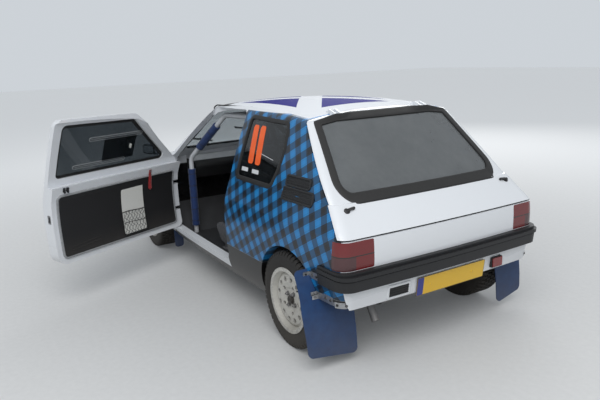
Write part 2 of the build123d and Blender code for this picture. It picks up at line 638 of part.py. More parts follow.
def rim(axle_x, centre_y, side):
    """Barrel, lip and a dished face with two rings of holes."""
    half = TYRE_W / 2 - 14
    seat_r = RIM_BEAD_R - SEAT_GAP
    barrel = [(seat_r, -half - 0.3, 0), (seat_r, half + 0.3, 0), (RIM_BEAD_R + 8, half + 7, 0),
              (RIM_FLANGE_R, half + 9.5, 0), (RIM_FLANGE_R, half + 13.5, 0),
              (RIM_BEAD_R - 4, half + 13.5, 0), (RIM_BEAD_R - 16, half - 20, 0), (RIM_BEAD_R - 16, -half - 4, 0),
              (RIM_FLANGE_R, -half - 13.5, 0), (RIM_FLANGE_R, -half - 9.5, 0), (RIM_BEAD_R + 8, -half - 7, 0)]
    seat = WHEEL_SEAT
    face = [(SHAFT_BORE_R, seat + 12, 0), (61, seat + 12, 6), (74, seat + 19, 10), (104, seat + 25, 12),
            (146, seat + 23, 12), (RIM_BEAD_R - 10, seat + 5, 0), (RIM_BEAD_R - 10, seat - 5, 0),
            (145, seat + 12, 0), (104, seat + 14, 0), (HUB_R + 8, seat + 8, 0), (HUB_R, seat, 0),
            (SHAFT_BORE_R, seat, 0)]
    wheel = turned(barrel, axle_x, centre_y, side) + turned(face, axle_x, centre_y, side)
    for ring_r, hole_r, count, turn in WHEEL_HOLES:
        for n in range(count):
            a = radians(turn + 360 / count * n)
            x, z = axle_x + ring_r * cos(a), TYRE_R + ring_r * sin(a)
            wheel -= rod((x, centre_y + side * 30, z), (x, centre_y + side * 90, z), hole_r)
    return wheel


# Steering axis of the left wheel: lower ball joint and top mount
STEER_LOW = (FRONT_AXLE_X, 612, 200)
STEER_TOP = (FRONT_AXLE_X, 512, 690)
TOWER_ROOF_Z = 691
STRUT_TOP_Z = TOWER_ROOF_Z - SEAT_GAP - 22


def along_steering_axis(z):
    t = (z - STEER_LOW[2]) / (STEER_TOP[2] - STEER_LOW[2])
    return tuple(a + (b - a) * t for a, b in zip(STEER_LOW, STEER_TOP))


def hub_and_shaft(axle_x, wheel_y, hub_from):
    """The hub that the wheel seats on, with the shaft through the wheel's bore."""
    hub = rod((axle_x, hub_from, TYRE_R), (axle_x, wheel_y + WHEEL_SEAT - SEAT_GAP, TYRE_R), HUB_R)
    return hub + rod((axle_x, hub_from, TYRE_R), (axle_x, wheel_y + WHEEL_SEAT + 11, TYRE_R), SHAFT_R)


def brake_caliper():
    """A body that bridges the edge of the left disc, on an arm from the hub carrier."""
    inner, outer = FRONT_WHEEL_Y + BRAKE_DISC[0], FRONT_WHEEL_Y + BRAKE_DISC[1]
    body = block((FRONT_AXLE_X - BRAKE_DISC_R - 28, FRONT_AXLE_X - 84), (inner - 26, outer + 24),
                 (TYRE_R - 42, TYRE_R + 42))
    body = body.fillet(6, body.edges())
    body -= wheel_drum(FRONT_AXLE_X, BRAKE_DISC_R + 5, inner - 5, outer + 5)
    arm = block((FRONT_AXLE_X - 90, FRONT_AXLE_X - 40), (inner - 26, inner - 8), (TYRE_R - 20, TYRE_R + 20))
    return body + arm


def knuckle():
    """Left hub carrier with its stub shaft and brake caliper, and the strut that turns with it."""
    hub = hub_and_shaft(FRONT_AXLE_X, FRONT_WHEEL_Y, FRONT_WHEEL_Y - 96)
    post = rod(along_steering_axis(205), along_steering_axis(420), 24)
    spring = rod(along_steering_axis(440), along_steering_axis(670), 40)
    strut = rod(along_steering_axis(400), along_steering_axis(STRUT_TOP_Z), 22)
    strut += Solid.make_sphere(22).moved(Location(Vector(*along_steering_axis(STRUT_TOP_Z))))
    return hub + brake_caliper() + post + spring + strut


SUBFRAME_Z = 165.0


def front_suspension():
    """Subframe with a lower arm to each wheel."""
    x, y, z = FRONT_AXLE_X, 330, SUBFRAME_Z
    beam = block((x - 80, x + 20), (-y, y), (z, z + 50))
    arm = top_prism([(x - 100, y, 0), (x + 40, y, 0), (x + 22, 600, 22), (x - 22, 600, 22)], z + 7, z + 27)
    foot = block((x - 80, x - 10), (y - 30, y), (z + 50, 340))
    foot += block((x - 80, x - 10), (y - 30, INNER_WING_Y - INNER_WING_T), (335, 360))
    return beam + both_sides(arm + foot)


def rear_axle():
    """Beam with its trailing arms, hubs, brake drums and dampers."""
    beam = rod((REAR_AXLE_X, -560, TYRE_R), (REAR_AXLE_X, 560, TYRE_R), 32)
    arm = side_prism([(REAR_AXLE_X - 30, 265, 0), (REAR_AXLE_X - 30, 320, 0), (-815, 285, 0), (-815, 255, 0)],
                     480, 520)
    arm += rod((-808.7, 470, 270), (-808.7, 530, 270), 26)
    hub = hub_and_shaft(REAR_AXLE_X, REAR_WHEEL_Y, 545)
    drum = wheel_drum(REAR_AXLE_X, 104, REAR_WHEEL_Y - 46, REAR_WHEEL_Y + 22)
    drum = drum.fillet(8, drum.edges())
    damper = rod((REAR_AXLE_X - 30, 500, 300), (REAR_AXLE_X - 30, 500, BOOT_Z), 24)
    return beam + both_sides(arm + hub + drum + damper)


def exhaust():
    """The pipe from the engine over the rear axle, the silencer across the car and its bent outlet."""
    end_x = REAR_AXLE_X - 300
    pipe = bent_tube([(ENGINE_REAR_X, 0, 290), (640, 0, 280), (-820, 0, 280), (REAR_AXLE_X + 160, 60, 372),
                      (end_x + 110, 60, 365), (end_x - 5, 60, 335)], 24, 60)
    silencer = rod((end_x, -60, 335), (end_x, 340, 335), 66)
    outlet = bent_tube([(end_x, 330, 335), (end_x - 10, 400, 330), (end_x - 35, 405, 282), (end_x - 82, 407, 212)],
                       23, 30)
    bore = rod((end_x - 58, 406, 248), (end_x - 90, 407, 200), 19)
    return pipe + silencer + (outlet - bore)


def front_mudflap():
    face = corner_face([(620, 60, 25), (698, 60, 25), (698, 330, 10), (620, 330, 10)],
                       lambda y, z: (FIREWALL_X + FIREWALL_T + SEAT_GAP, y, z))
    return Solid.extrude(face, Vector(FLAP_T, 0, 0))


# Rear flap seen from the side: distance behind the axle and height, down its rear face from the bumper's end
FLAP_LINE = [(210, 552), (252, 490), (295, 415), (326, 320), (346, 200), (360, 40)]


def rear_mudflap(y_inner, y_outer, side):
    """A hanging sheet behind the rear tyre, with a strip that runs up outside the body."""
    rear = [(REAR_AXLE_X - back, z, 0) for back, z in FLAP_LINE]
    front = [(x + FLAP_T, z + 2, 0) for x, z, _ in reversed(rear)]
    sheet = side_prism(rear + front, side * y_inner, side * y_outer)
    outline = [(side * y_inner, 48, 30), (side * (y_outer - 15), 98, 35), (side * y_outer, 330, 200),
               (side * (y_outer - 20), 545, 30), (side * y_inner, 545, 10)]
    sheet &= end_prism(outline, REAR_AXLE_X - 440, REAR_AXLE_X - 140)
    return largest(sheet - (lower_body(-SEAT_GAP, 0) & block(
        (REAR_AXLE_X - 440, REAR_AXLE_X - 90), (-ASIDE, ASIDE), (TAIL_HEM_Z - SEAT_GAP, 700))))


def roll_cage():
    """Main hoop, two side hoops down the windscreen pillars, rear stays and a cross brace."""
    tube_r, bend, hoop_x = 20.0, 90.0, -545.0
    top_y, top_z, roof_x, foot_z = 440.0, 1262.0, 185.0, FLOOR_Z + FLOOR_T
    cage = bent_tube([(hoop_x, 600, foot_z), (hoop_x, 600, 850), (hoop_x, top_y, top_z), (hoop_x, -top_y, top_z),
                      (hoop_x, -600, 850), (hoop_x, -600, foot_z)], tube_r, bend)
    for side in (1, -1):
        cage += bent_tube([(hoop_x, side * 425, top_z - 6), (roof_x, side * 436, 1240), (612, side * 580, 870),
                           (612, side * 580, foot_z)], tube_r - 1, bend)
        cage += rod((hoop_x, side * 440, 1235), (REAR_AXLE_X + 80, side * 600, 600), tube_r - 2)
        cage -= wheel_drum(REAR_AXLE_X, REAR_WELL_R + 14, side * 500, side * 720)
    cage += rod((roof_x - 5, 430, 1236), (roof_x - 5, -430, 1236), tube_r - 2)
    cage += rod((hoop_x, 420, 1245), (hoop_x, -595, 320), tube_r - 2)
    return cage


SEAT_Y = 350.0
# Bucket seat from the side: x, z, corner radius. The scoop is the hollow that holds the person.
SEAT_SIDE = [(-290, 262, 40), (140, 262, 50), (205, 430, 45), (-30, 402, 120), (-205, 520, 110), (-262, 820, 120),
             (-330, 900, 60), (-352, 1060, 40), (-452, 1050, 40), (-385, 320, 90)]
SEAT_SCOOP = [(-222, 322, 90), (260, 335, 0), (260, 900, 0), (-110, 1300, 0), (-395, 1300, 0), (-398, 1010, 0)]
# The same seat from the front: half width, z, corner radius, up one side
SEAT_FRONT = [(205, 250, 40), (225, 400, 60), (198, 600, 120), (232, 830, 60), (150, 945, 50), (128, 1070, 50)]
SEAT_SHELL = 32.0


def seat(y):
    """A one-piece bucket seat with wings, belt slots and two side brackets that stand on the floor."""
    floor_z = FLOOR_Z + FLOOR_T
    front = [(y + half, z, radius) for half, z, radius in SEAT_FRONT]
    front += [(y - half, z, radius) for half, z, radius in reversed(SEAT_FRONT)]
    narrower = [(b - SEAT_SHELL if b > y else b + SEAT_SHELL, z, radius) for b, z, radius in front]
    shell = side_prism(SEAT_SIDE, y - 300, y + 300) & end_prism(front, -500, 300)
    shell -= side_prism(SEAT_SCOOP, y - 300, y + 300) & end_prism(narrower, -600, 300)
    for slot_y in (y - 72, y + 72):
        shell -= block((-480, -300), (slot_y - 34, slot_y + 34), (872, 896))
    for side in (1, -1):
        wall_y, foot_y = y + side * (SEAT_FRONT[0][0] - 8), y + side * (SEAT_FRONT[0][0] + 24)
        shell += block((-230, 90), (wall_y, wall_y + side * 5), (floor_z + SEAT_GAP, 330))
        shell += block((-230, 90), (wall_y, foot_y), (floor_z + SEAT_GAP, floor_z + 5))
    return largest(shell)


DASH_HALF_Y = 540.0


def dashboard():
    """A crowned shelf under the windscreen, with a hood over the dials and a lower switch panel."""
    outline = [(FIREWALL_X, 700, 20), (FIREWALL_X, 862, 10), (700, 876, 40), (600, 800, 30), (640, 690, 20)]
    shelf = side_prism(outline, -DASH_HALF_Y, DASH_HALF_Y)
    hood = side_prism([(700, 800, 10), (700, 884, 30), (596, 890, 14), (585, 806, 10)],
                      STEER_CENTRE[1] - 150, STEER_CENTRE[1] + 150)
    panel = side_prism([(700, 640, 10), (700, 760, 10), (604, 790, 8), (640, 640, 8)], -140, 140)
    return shelf + hood + panel


STEER_CENTRE = (345.0, -SEAT_Y, 790.0)
STEER_TILT_DEG = 25.0
STEER_RING_R = 170.0
STEER_GRIP_R = 14.0
COLUMN_SHAFT_R = 14.0
COLUMN_BORE_R = 14.05


def column_point(distance):
    """A point on the steering column, measured from the wheel's centre towards the front."""
    a = radians(STEER_TILT_DEG)
    return (STEER_CENTRE[0] + distance * cos(a), STEER_CENTRE[1], STEER_CENTRE[2] - distance * sin(a))


def steering_wheel():
    """Leather rim in two halves, three flat spokes, a hub and the shaft into the column."""
    plane = Plane(origin=STEER_CENTRE, z_dir=Vector(*column_point(0)) - Vector(*column_point(1)))
    axis = Axis(plane.origin, plane.z_dir)
    section = (plane.location * Pos(STEER_RING_R, 0, 0) * Rot(90, 0, 0) * Circle(STEER_GRIP_R)).face()
    half = Solid.revolve(section, 180, axis)
    wheel = rod(column_point(-22), column_point(40), 32) + rod(column_point(0), column_point(160), COLUMN_SHAFT_R)
    for angle in (20, 160, 270):
        place = plane.location * Rot(0, 0, angle) * Pos(STEER_RING_R / 2, 0, 0)
        wheel += (place * Box(STEER_RING_R - 2, 26, 5)).solid()
    return wheel + half + half.rotate(axis, 180)


def steering_column():
    tube = rod(column_point(60), column_point(560), 30) - rod(column_point(0), column_point(170), COLUMN_BORE_R)
    return tube - block((FIREWALL_X, 1000), (-500, 0), (300, 900))


def gear_lever():
    stick = rod((149, 0, 372), (110, 0, 600), 7) + Solid.make_sphere(22).moved(Location(Vector(108, 0, 610)))
    boot = Solid.make_cone(55, 15, 60).moved(Location(Vector(148, 0, 360)))
    handbrake = rod((-150, 60, 372), (40, 60, 470), 11) + block((-190, -130), (45, 75), (360, 390))
    return stick + boot, handbrake


def engine():
    body = block((ENGINE_REAR_X, RADIATOR_X - 160), (-300 + SEAT_GAP, 300 - SEAT_GAP), (260, 690))
    return body.fillet(30, body.edges())


def sump_guard():
    """A folded plate under the subframe that rises to the radiator."""
    top, t = SUBFRAME_Z - SEAT_GAP, 6
    rear_x, fold_x, front_x = FRONT_AXLE_X - 100, FRONT_AXLE_X + 50, RADIATOR_X + 10
    profile = [(rear_x, top - t, 0), (fold_x + 2, top - t, 0), (front_x, 262, 0), (front_x, 262 + t, 0),
               (fold_x, top, 0), (rear_x, top, 0)]
    return side_prism(profile, -330, 330)


def opened(shape):
    """A left door piece turned from closed to where the door stands open."""
    return shape.rotate(Axis((HINGE_X, HINGE_Y, 0), (0, 0, 1)), -LEFT_DOOR_OPEN_DEG)


def make_nodes():
    nodes = {}
    fold = floor_fold()
    nodes["floor_pan"] = both_sides(floor_section(fold, (STEP_X, FIREWALL_X), (TUNNEL_HALF_Y, 760)))
    nodes["tunnel"] = floor_section(fold, (STEP_X, FIREWALL_X), (-TUNNEL_HALF_Y, TUNNEL_HALF_Y))
    nodes["boot_floor"] = floor_section(fold, (BEHIND, STEP_X), (-760, 760))
    nodes["wheel_housings"] = both_sides(wheel_housing())
    nodes["body_side_left"] = body_side()
    nodes["body_side_right"] = mirrored(nodes["body_side_left"] - fuel_flap_groove())
    nodes["roof_panel"] = largest((OUTER - CABIN_VOID) & roof_region())
    nodes["front_wings"] = both_sides(front_wing())
    nodes["scuttle"] = scuttle()
    nodes["front_panel"] = front_panel()
    nodes["inner_wings"] = both_sides(inner_wing())
    nodes["rear_panel"] = rear_panel()
    nodes["tail_lamps"] = both_sides(tail_lamp())
    nodes["headlamps"] = both_sides(headlamp())
    nodes["grille"] = grille()
    nodes["rear_bumper"] = bumper(REAR_BUMPER, -1, BEHIND, TAIL_X + 202)
    nodes["front_bumper"] = bumper(FRONT_BUMPER, 1, NOSE_X - 252, AHEAD)
    nodes["windscreen"] = pane(WINDSCREEN, end_prism, 0, 1100)
    nodes["quarter_windows"] = both_sides(pane(QUARTER_WINDOW, side_prism, 300, 900))
    nodes["engine"] = engine()
    nodes["sump_guard"] = sump_guard()
    nodes["front_suspension"] = front_suspension()
    nodes["rear_axle"] = rear_axle()
    nodes["exhaust"] = exhaust()
    nodes["front_mudflaps"] = both_sides(front_mudflap())
    nodes["rear_mudflaps"] = rear_mudflap(515, 845, 1) + rear_mudflap(610, 845, -1)
    nodes["roll_cage"] = roll_cage()
    nodes["seats"] = both_sides(seat(SEAT_Y))
    nodes["dashboard"] = dashboard()
    nodes["steering_column"] = steering_column()
    nodes["gear_lever"], nodes["handbrake"] = gear_lever()
    nodes["steering_wheel"] = steering_wheel()
    hinges = door_hinge(HINGE_HEIGHTS[0]) + door_hinge(HINGE_HEIGHTS[1]) - nodes["body_side_left"]
    nodes["door_hinges"] = both_sides(hinges)
    for name, piece in (("door", door_shell()), ("door_window", door_glass()), ("door_card", door_card()),
                        ("door_mirror", door_mirror())):
        nodes[f"left_{name}"] = opened(piece)
        nodes[f"right_{name}"] = mirrored(piece)
    nodes["tailgate_hinges"] = both_sides(tailgate_hinge())
    nodes["tailgate"] = tailgate()
    nodes["tailgate_window"] = pane(REAR_GLASS, end_prism, BEHIND, ROOF_REAR_X - 25)
    nodes["bonnet"] = bonnet()
    nodes["left_knuckle"] = knuckle()
    nodes["right_knuckle"] = mirrored(nodes["left_knuckle"])
    for end, axle_x, wheel_y in (("front", FRONT_AXLE_X, FRONT_WHEEL_Y), ("rear", REAR_AXLE_X, REAR_WHEEL_Y)):
        nodes[f"{end}_left_tyre"] = tyre(axle_x, wheel_y, 1)
        nodes[f"{end}_left_rim"] = rim(axle_x, wheel_y, 1)
        if end == "front":
            nodes["front_left_rim"] += brake_disc(axle_x, wheel_y, 1)
        nodes[f"{end}_right_tyre"] = mirrored(nodes[f"{end}_left_tyre"])
        nodes[f"{end}_right_rim"] = mirrored(nodes[f"{end}_left_rim"])
    return nodes


os.makedirs("parts", exist_ok=True)
for node_name, node_shape in make_nodes().items():
    export_step(Compound(node_shape.solids()), f"parts/{node_name}.step")
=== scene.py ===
# %% [markdown]
# # A rally hatchback, dressed in Blender
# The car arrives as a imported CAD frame: named nodes on named bodies, all in metres, with +X forward,
# +Y to the car's left and +Z up. This lesson keeps every CAD piece where it is, gives it a finish
# made from shader nodes, and adds the pieces that are too fine for the CAD: tread, latches, belts,
# brackets, padding and cloth.

# %% Load the frame
import bpy
import bmesh
from math import atan2, cos, pi, radians, sin, sqrt, tan, tau
from mathutils import Matrix, Vector
from mathutils.bvhtree import BVHTree


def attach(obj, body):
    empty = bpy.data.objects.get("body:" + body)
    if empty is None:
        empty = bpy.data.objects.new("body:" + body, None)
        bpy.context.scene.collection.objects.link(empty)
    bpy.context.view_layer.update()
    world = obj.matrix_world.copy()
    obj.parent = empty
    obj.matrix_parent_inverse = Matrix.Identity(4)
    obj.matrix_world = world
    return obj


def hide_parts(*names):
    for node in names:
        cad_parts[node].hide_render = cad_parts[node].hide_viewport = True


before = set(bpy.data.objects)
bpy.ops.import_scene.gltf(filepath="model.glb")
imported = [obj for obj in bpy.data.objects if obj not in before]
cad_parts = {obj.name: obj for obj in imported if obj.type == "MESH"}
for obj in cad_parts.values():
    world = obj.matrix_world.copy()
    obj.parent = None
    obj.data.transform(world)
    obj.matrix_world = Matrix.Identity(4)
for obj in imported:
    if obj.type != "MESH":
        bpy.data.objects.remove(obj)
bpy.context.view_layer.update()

# %% [markdown]
# ## The camera
# The view is from behind the car's left rear corner, a little above the roof line. The place and the
# lens were worked out once from the lengths of the car, so the camera is written down as a point,
# three angles and a lens. An empty target would be easier to move, but it could not hold the
# slight tilt of the horizon.

# %% Camera behind the left rear corner
CAMERA_AT = Vector((-3.993, 2.307, 1.662))
CAMERA_YAW, CAMERA_PITCH, CAMERA_ROLL = radians(-30.936), radians(-13.734), radians(-2.108)
LENS_MM, SENSOR_MM = 35.56, 36.0


def camera_axes():
    """Right, up and backward directions of the camera."""
    level = cos(CAMERA_PITCH)
    ahead = Vector((level * cos(CAMERA_YAW), level * sin(CAMERA_YAW), sin(CAMERA_PITCH)))
    right = ahead.cross(Vector((0, 0, 1))).normalized()
    up = right.cross(ahead)
    tilt = Matrix.Rotation(CAMERA_ROLL, 3, -ahead)
    return tilt @ right, tilt @ up, -ahead


camera_data = bpy.data.cameras.new("photo_camera")
camera_data.lens = LENS_MM
camera_data.sensor_width = SENSOR_MM
camera = bpy.data.objects.new("photo_camera", camera_data)
bpy.context.collection.objects.link(camera)
right, up, back = camera_axes()
camera.matrix_world = Matrix.Translation(CAMERA_AT) @ Matrix((right, up, back)).transposed().to_4x4()
bpy.context.scene.camera = camera
print("camera looks along", [round(v, 3) for v in -back])

# %% [markdown]
# ## Node helpers
# A finish is a small tree of shader nodes. Placing and linking them by hand takes many lines, so
# short helpers do it: the first ones add a node and fill its sockets, do arithmetic and mix two
# colours, and the others make masks and patterns from them. A socket is linked when it is given
# another socket, and set when it is given a plain value.


# %% Helpers that place and link shader nodes
def fill(tree, socket, value):
    if isinstance(value, bpy.types.NodeSocket):
        tree.links.new(value, socket)
    else:
        socket.default_value = value


def place(tree, kind, inputs=None, **settings):
    """A shader node with its settings and inputs."""
    made = tree.nodes.new("ShaderNode" + kind)
    for name, value in settings.items():
        setattr(made, name, value)
    for name, value in (inputs or {}).items():
        fill(tree, made.inputs[name], value)
    return made


def calc(tree, operation, *values):
    """One step of arithmetic on sockets or numbers."""
    made = place(tree, "Math", operation=operation)
    for socket, value in zip(made.inputs, values):
        fill(tree, socket, value)
    return made.outputs[0]


def mixed(tree, factor, first, second):
    """The first colour where the factor is 0 and the second where it is 1."""
    made = place(tree, "Mix", data_type="RGBA")
    for index, value in ((0, factor), (6, first), (7, second)):
        fill(tree, made.inputs[index], value)
    return made.outputs[2]


def rgb(red, green, blue):
    """A colour as it looks on screen, 0 to 255, as the linear value that a socket takes."""
    linear = [((v / 255 + 0.055) / 1.055) ** 2.4 if v > 10.3 else v / 255 / 12.92 for v in (red, green, blue)]
    return (*linear, 1.0)


def object_place(tree):
    """Where a point lies in the piece's own frame, as x, y and z sockets."""
    split = place(tree, "SeparateXYZ", {"Vector": place(tree, "TexCoord").outputs["Object"]})
    return split.outputs[0], split.outputs[1], split.outputs[2]


def step_up(tree, value, start, width):
    """A smooth step from 0 to 1 as the value passes start."""
    inputs = {0: value, 1: start - width / 2, 2: start + width / 2}
    return place(tree, "MapRange", inputs, interpolation_type="SMOOTHSTEP").outputs[0]


def step_down(tree, value, start, width):
    """A smooth step from 1 to 0 as the value passes start."""
    return inverse(tree, step_up(tree, value, start, width))


def both(tree, *masks):
    """The product of several masks."""
    result = masks[0]
    for mask in masks[1:]:
        result = calc(tree, "MULTIPLY", result, mask)
    return result


def either(tree, *masks):
    """The largest of several masks."""
    result = masks[0]
    for mask in masks[1:]:
        result = calc(tree, "MAXIMUM", result, mask)
    return result


def inverse(tree, mask):
    return calc(tree, "SUBTRACT", 1.0, mask)


def apart(tree, value, centre):
    """How far a value lies from a centre, on either side of it."""
    return calc(tree, "ABSOLUTE", calc(tree, "SUBTRACT", value, centre))


def noise(tree, scale, detail, roughness=0.5):
    """Soft noise in the piece's own coordinates, from 0 to 1."""
    inputs = {"Vector": place(tree, "TexCoord").outputs["Object"], "Scale": scale, "Detail": detail,
              "Roughness": roughness}
    return place(tree, "TexNoise", inputs).outputs[0]


def threads(tree, scale, distortion=0.0, direction="X"):
    """Fine parallel ridges in the piece's own coordinates, for woven and twisted things."""
    inputs = {"Vector": place(tree, "TexCoord").outputs["Object"], "Scale": scale, "Distortion": distortion}
    return place(tree, "TexWave", inputs, bands_direction=direction).outputs["Fac"]


def cells(tree, scale):
    """Small round cells in the piece's own coordinates: the distance from the nearest centre."""
    inputs = {"Vector": place(tree, "TexCoord").outputs["Object"], "Scale": scale}
    return place(tree, "TexVoronoi", inputs).outputs["Distance"]


def face_direction(tree, axis):
    """How far a face looks along x, y or z (0, 1 or 2) of the piece's own frame."""
    normal = place(tree, "TexCoord").outputs["Normal"]
    return place(tree, "SeparateXYZ", {"Vector": normal}).outputs[axis]


def new_group(name, inputs, outputs):
    """An empty node group with named sockets, and its entry and exit nodes."""
    group = bpy.data.node_groups.new(name, "ShaderNodeTree")
    for label, kind, default in inputs:
        socket = group.interface.new_socket(name=label, in_out="INPUT", socket_type="NodeSocket" + kind)
        socket.default_value = default
    for label, kind in outputs:
        group.interface.new_socket(name=label, in_out="OUTPUT", socket_type="NodeSocket" + kind)
    return group, group.nodes.new("NodeGroupInput").outputs, group.nodes.new("NodeGroupOutput").inputs


def use_group(tree, group, inputs):
    made = place(tree, "Group", node_tree=group)
    for name, value in inputs.items():
        fill(tree, made.inputs[name], value)
    return made.outputs


print("node helpers ready")

# %% [markdown]
# ## Dust and wear that every finish shares
# A rally car is never clean: the road throws grey dust on everything low, and dust settles in a thin
# film on what faces up. One node group holds that effect, and each finish sets how much of it shows.
# A painted image could do the same, but it would have to be unwrapped onto each piece, while noise
# in the piece's own coordinates needs no unwrapping.

# %% Group: road dust
DUST = rgb(122, 114, 102)
road_dust, given, result = new_group(
    "Road dust",
    [("Colour", "Color", (0.8, 0.8, 0.8, 1)), ("Roughness", "Float", 0.4), ("Amount", "Float", 0.5),
     ("Height", "Float", 0.45), ("Film", "Float", 0.1)],
    [("Colour", "Color"), ("Roughness", "Float")])
tree = road_dust
x, y, z = object_place(tree)
blotches = noise(tree, 7.0, 6.0, 0.65)
specks = noise(tree, 160.0, 2.0)
low = calc(tree, "DIVIDE", calc(tree, "SUBTRACT", given["Height"], z), given["Height"])
low = place(tree, "Clamp", {"Value": low}).outputs[0]
low = calc(tree, "MULTIPLY", calc(tree, "MULTIPLY", low, calc(tree, "ADD", blotches, 0.35)), given["Amount"])
facing_up = place(tree, "SeparateXYZ", {"Vector": place(tree, "NewGeometry").outputs["Normal"]}).outputs[2]
film = calc(tree, "MULTIPLY", calc(tree, "MAXIMUM", facing_up, 0.15), given["Film"])
film = calc(tree, "MULTIPLY", film, calc(tree, "ADD", calc(tree, "MULTIPLY", specks, 0.8), blotches))
dusty = place(tree, "Clamp", {"Value": calc(tree, "ADD", low, film)}).outputs[0]
tree.links.new(mixed(tree, dusty, given["Colour"], DUST), result["Colour"])
tree.links.new(calc(tree, "ADD", given["Roughness"], calc(tree, "MULTIPLY", dusty, 0.5)), result["Roughness"])
print("group", road_dust.name, len(tree.nodes), "nodes")

# %% Group: scuffed edges
edge_wear, given, result = new_group(
    "Scuffed edges", [("Amount", "Float", 0.5), ("Scale", "Float", 60.0)], [("Mask", "Float")])
tree = edge_wear
sharp = place(tree, "NewGeometry").outputs["Pointiness"]
edge = step_up(tree, sharp, 0.57, 0.12)
chips = noise(tree, given["Scale"], 5.0)
chipped = both(tree, edge, step_up(tree, chips, 0.52, 0.16), given["Amount"])
tree.links.new(chipped, result["Mask"])
print("group", edge_wear.name, len(tree.nodes), "nodes")

# %% Group: moulded grain
moulded_grain, given, result = new_group(
    "Moulded grain", [("Scale", "Float", 900.0), ("Depth", "Float", 0.5)],
    [("Height", "Float"), ("Shade", "Float")])
tree = moulded_grain
pits = cells(tree, given["Scale"])
waves = noise(tree, 30.0, 3.0)
tree.links.new(calc(tree, "MULTIPLY", pits, given["Depth"]), result["Height"])
tree.links.new(calc(tree, "ADD", 0.85, calc(tree, "MULTIPLY", waves, 0.3)), result["Shade"])
print("group", moulded_grain.name, len(tree.nodes), "nodes")

# %% [markdown]
# ## The tartan wrap
# The rear quarters wear a checked wrap in bright blue and near black, laid on the bias. A tartan is
# two sets of stripes at right angles: where two blue bands cross it is bright, where blue crosses
# black it is half way, and where two black bands cross it is darkest. Faint thin lines run on both
# sides of the middle of each band. Building it from two stripe values keeps it sharp at any size.

# %% Group: tartan
CHECK = 0.092
TARTAN_ANGLE = radians(-30.0)
BAND_LINE, LINE_AT = 0.035, 0.16  # both as shares of a check
tartan, given, result = new_group(
    "Tartan wrap",
    [("Across", "Float", 0.0), ("Up", "Float", 0.0), ("Bright", "Color", rgb(18, 126, 192)),
     ("Dark", "Color", rgb(1, 7, 18)), ("Line", "Color", rgb(6, 58, 86))],
    [("Colour", "Color")])
tree = tartan


def stripe(tree, along):
    """Blue and black bands of equal width: 1 on blue, 0 on black, and a mask of the thin lines."""
    phase = calc(tree, "FRACT", calc(tree, "DIVIDE", along, CHECK))
    from_middle = apart(tree, phase, 0.5)
    blue = step_down(tree, from_middle, 0.25, 0.02)
    beside = apart(tree, calc(tree, "PINGPONG", from_middle, 0.25), LINE_AT)
    line = step_down(tree, beside, BAND_LINE / 2, 0.012)
    return blue, line


turn_x = calc(tree, "ADD", calc(tree, "MULTIPLY", given["Across"], cos(TARTAN_ANGLE)),
              calc(tree, "MULTIPLY", given["Up"], sin(TARTAN_ANGLE)))
turn_z = calc(tree, "SUBTRACT", calc(tree, "MULTIPLY", given["Up"], cos(TARTAN_ANGLE)),
              calc(tree, "MULTIPLY", given["Across"], sin(TARTAN_ANGLE)))
warp, warp_line = stripe(tree, turn_x)
weft, weft_line = stripe(tree, turn_z)
level = calc(tree, "MULTIPLY", calc(tree, "ADD", warp, weft), 0.5)
level = calc(tree, "POWER", level, 1.7)
cloth = mixed(tree, level, given["Dark"], given["Bright"])
lined = calc(tree, "MULTIPLY", calc(tree, "ADD", warp_line, weft_line), 0.28)
tree.links.new(mixed(tree, lined, cloth, given["Line"]), result["Colour"])
print("group", tartan.name, len(tree.nodes), "nodes")

# %% [markdown]
# ## Finishes
# Each finish is one Principled shader. A helper makes the shader, sets its plain values and returns
# the tree, so that a finish only says what is special about it.


# %% Helper: a finish
def finish(name, **plain):
    """A material with one Principled shader. Plain values go straight onto its sockets."""
    material = bpy.data.materials.new(name)
    material.use_nodes = True
    tree = material.node_tree
    shader = tree.nodes["Principled BSDF"]
    for label, value in plain.items():
        shader.inputs[label.replace("_", " ")].default_value = value
    print("finish", name)
    return material, tree, shader


def dusted(tree, shader, colour, roughness, amount, height=0.45, film=0.1):
    """Feeds a colour and a roughness through the road dust into the shader."""
    out = use_group(tree, road_dust, {"Colour": colour, "Roughness": roughness, "Amount": amount,
                                      "Height": height, "Film": film})
    fill(tree, shader.inputs["Base Color"], out["Colour"])
    fill(tree, shader.inputs["Roughness"], out["Roughness"])


def bumped(tree, shader, height, distance, strength=1.0):
    bump = place(tree, "Bump", {"Height": height, "Distance": distance, "Strength": strength})
    tree.links.new(bump.outputs[0], shader.inputs["Normal"])


def orange_peel(tree, shader):
    """The faint waviness of sprayed paint."""
    peel = noise(tree, 420.0, 1.0)
    bumped(tree, shader, peel, 0.0002, 0.12)


def mottled(name, pattern, dark, light, dust=None, bump=None, gloss=None, **plain):
    """A finish that drifts between two tones. The pattern is a function and its values, dust is
    (roughness, amount, height, film), bump is (distance, strength) and gloss is (least, spread)."""
    material, tree, shader = finish(name, **plain)
    mask = pattern[0](tree, *pattern[1:])
    colour = mixed(tree, mask, dark, light)
    if dust:
        dusted(tree, shader, colour, *dust)
    else:
        fill(tree, shader.inputs["Base Color"], colour)
    if gloss:
        drift = calc(tree, "MULTIPLY", mask, gloss[1])
        fill(tree, shader.inputs["Roughness"], calc(tree, "ADD", gloss[0], drift))
    if bump:
        bumped(tree, shader, mask, *bump)
    return material


WHITE = rgb(233, 236, 240)
DEEP_BLUE = rgb(8, 4, 126)
BLACK = rgb(14, 14, 15)


def outward(tree, y, start):
    """1 on faces that look away from the car's centre plane, 0 on its inner faces."""
    normal = face_direction(tree, 1)
    side = calc(tree, "SIGN", y)
    return step_up(tree, calc(tree, "MULTIPLY", normal, side), start, 0.1)


print("finish helpers ready")

